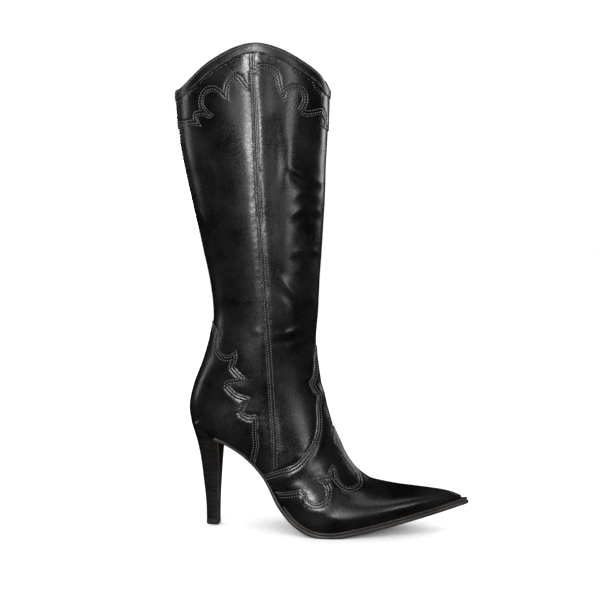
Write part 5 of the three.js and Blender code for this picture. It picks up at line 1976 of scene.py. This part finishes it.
class BOOT_OT_inside(bpy.types.Operator):
    """Finish the pieces hidden inside the boot"""

    bl_idname = "boot.inside"
    bl_label = "Inner pieces"

    def execute(self, context):
        looks = {
            "heel_stiffener": ("stiff_sheet", "stiff_sheet"),
            "toe_puff": ("stiff_sheet", "stiff_sheet"),
            "bottom_filler": ("cork", "cork"),
            "insole_board": ("fibreboard", "fibreboard"),
            "steel_shank": ("steel", "steel"),
            "heel_core": ("plastic", "heel_plastic"),
            "heel_dowel": ("steel", "steel"),
            "heel_screw": ("steel", "steel"),
            "top_lift_pin": ("steel", "steel"),
        }
        for node, (look, slot) in looks.items():
            dress(node, look)
        for number in range(1, 5):
            dress(f"heel_nail_{number}", "steel")
        return {"FINISHED"}


class BOOT_OT_stage(bpy.types.Operator):
    """Set up the paper floor, the lights and the camera"""

    bl_idname = "boot.stage"
    bl_label = "Stage"

    def execute(self, context):
        settings = context.scene.boot_stage
        self.floor()
        self.lights(settings)
        self.camera(context, settings)
        world = bpy.data.worlds.new("soft_room")
        world.use_nodes = True
        background = world.node_tree.nodes["Background"]
        background.inputs["Color"].default_value = linear("#ffffff")
        background.inputs["Strength"].default_value = 1.15
        context.scene.world = world
        world.cycles_visibility.glossy = False
        context.scene.view_settings.view_transform = "Standard"
        return {"FINISHED"}

    def floor(self):
        """A wide level floor, kept out of the gloss so that black leather stays black."""
        reach = 12.0
        corners = [(-reach, -reach, 0), (reach, -reach, 0), (reach, reach, 0), (-reach, reach, 0)]
        mesh = bpy.data.meshes.new("paper_floor")
        mesh.from_pydata(corners, [], [(0, 1, 2, 3)])
        mesh.materials.append(finish("paper"))
        floor = bpy.data.objects.new("paper_floor", mesh)
        floor.visible_glossy = False
        bpy.context.scene.collection.objects.link(floor)

    def lights(self, settings):
        """Softboxes: name, place, aim, width, height, power."""
        boxes = [
            ("key_strip", (-0.12, -2.0, 0.66), (0.05, 0, 0.35), 0.30, 1.0, settings.key_power),
            ("front_box", (1.25, -1.6, 0.42), (0.1, 0, 0.2), 0.4, 0.7, 3.8),
            ("fill_box", (1.1, -2.2, 1.2), (0.1, 0, 0.2), 1.9, 1.5, 3.2),
            ("side_box", (-1.9, 0.1, 0.6), (0.0, 0, 0.2), 0.4, 1.0, 3.0),
            ("top_box", (0.35, -0.75, 1.7), (0.12, 0, 0.05), 1.2, 0.6, 3.0),
            ("back_strip", (-0.7, 1.9, 0.7), (0.05, 0, 0.3), 0.35, 1.0, 12.0),
            ("back_box", (1.5, 1.5, 0.8), (0.1, 0, 0.2), 0.8, 1.0, 8.0),
        ]
        for name, place, aim, width, height, power in boxes:
            light = bpy.data.lights.new(name, "AREA")
            light.shape = "RECTANGLE"
            light.size, light.size_y, light.energy = width, height, power
            box = bpy.data.objects.new(name, light)
            box.location = place
            box.rotation_euler = (Vector(aim) - Vector(place)).to_track_quat("-Z", "Y").to_euler()
            bpy.context.scene.collection.objects.link(box)

    def camera(self, context, settings):
        """Looks at a point a little below half the boot's height, from its outer side."""
        target = Vector((0.0853, 0, 0.2171))
        a, e = settings.azimuth, settings.elevation
        back = Vector((math.sin(a) * math.cos(e), -math.cos(a) * math.cos(e), math.sin(e)))
        data = bpy.data.cameras.new("camera")
        data.lens, data.sensor_width = settings.lens, 36
        camera = bpy.data.objects.new("camera", data)
        camera.location = target + back * settings.distance
        camera.rotation_euler = (-back).to_track_quat("-Z", "Y").to_euler()
        context.scene.collection.objects.link(camera)
        context.scene.camera = camera


class BOOT_PT_make(bpy.types.Panel):
    """Lists the steps that make the boot"""

    bl_label = "Western Boot"
    bl_idname = "BOOT_PT_make"
    bl_space_type = "VIEW_3D"
    bl_region_type = "UI"
    bl_category = "Boot"

    def draw(self, context):
        layout = self.layout
        for step in STEPS:
            layout.operator(step.bl_idname)
        for group in (context.scene.boot_leather, context.scene.boot_stage):
            box = layout.box()
            for name in group.__annotations__:
                box.prop(group, name)


STEPS = (BOOT_OT_stage, BOOT_OT_upper, BOOT_OT_collars, BOOT_OT_binding, BOOT_OT_linings,
         BOOT_OT_sole, BOOT_OT_heel, BOOT_OT_zip, BOOT_OT_inside)
CLASSES = (LeatherSettings, StageSettings, *STEPS, BOOT_PT_make)


def register():
    for cls in CLASSES:
        bpy.utils.register_class(cls)
    bpy.types.Scene.boot_leather = PointerProperty(type=LeatherSettings)
    bpy.types.Scene.boot_stage = PointerProperty(type=StageSettings)


def unregister():
    del bpy.types.Scene.boot_stage
    del bpy.types.Scene.boot_leather
    for cls in reversed(CLASSES):
        bpy.utils.unregister_class(cls)


def main():
    register()
    for step in STEPS:
        group, name = step.bl_idname.split(".")
        getattr(getattr(bpy.ops, group), name)()


if __name__ == "__main__":
    main()
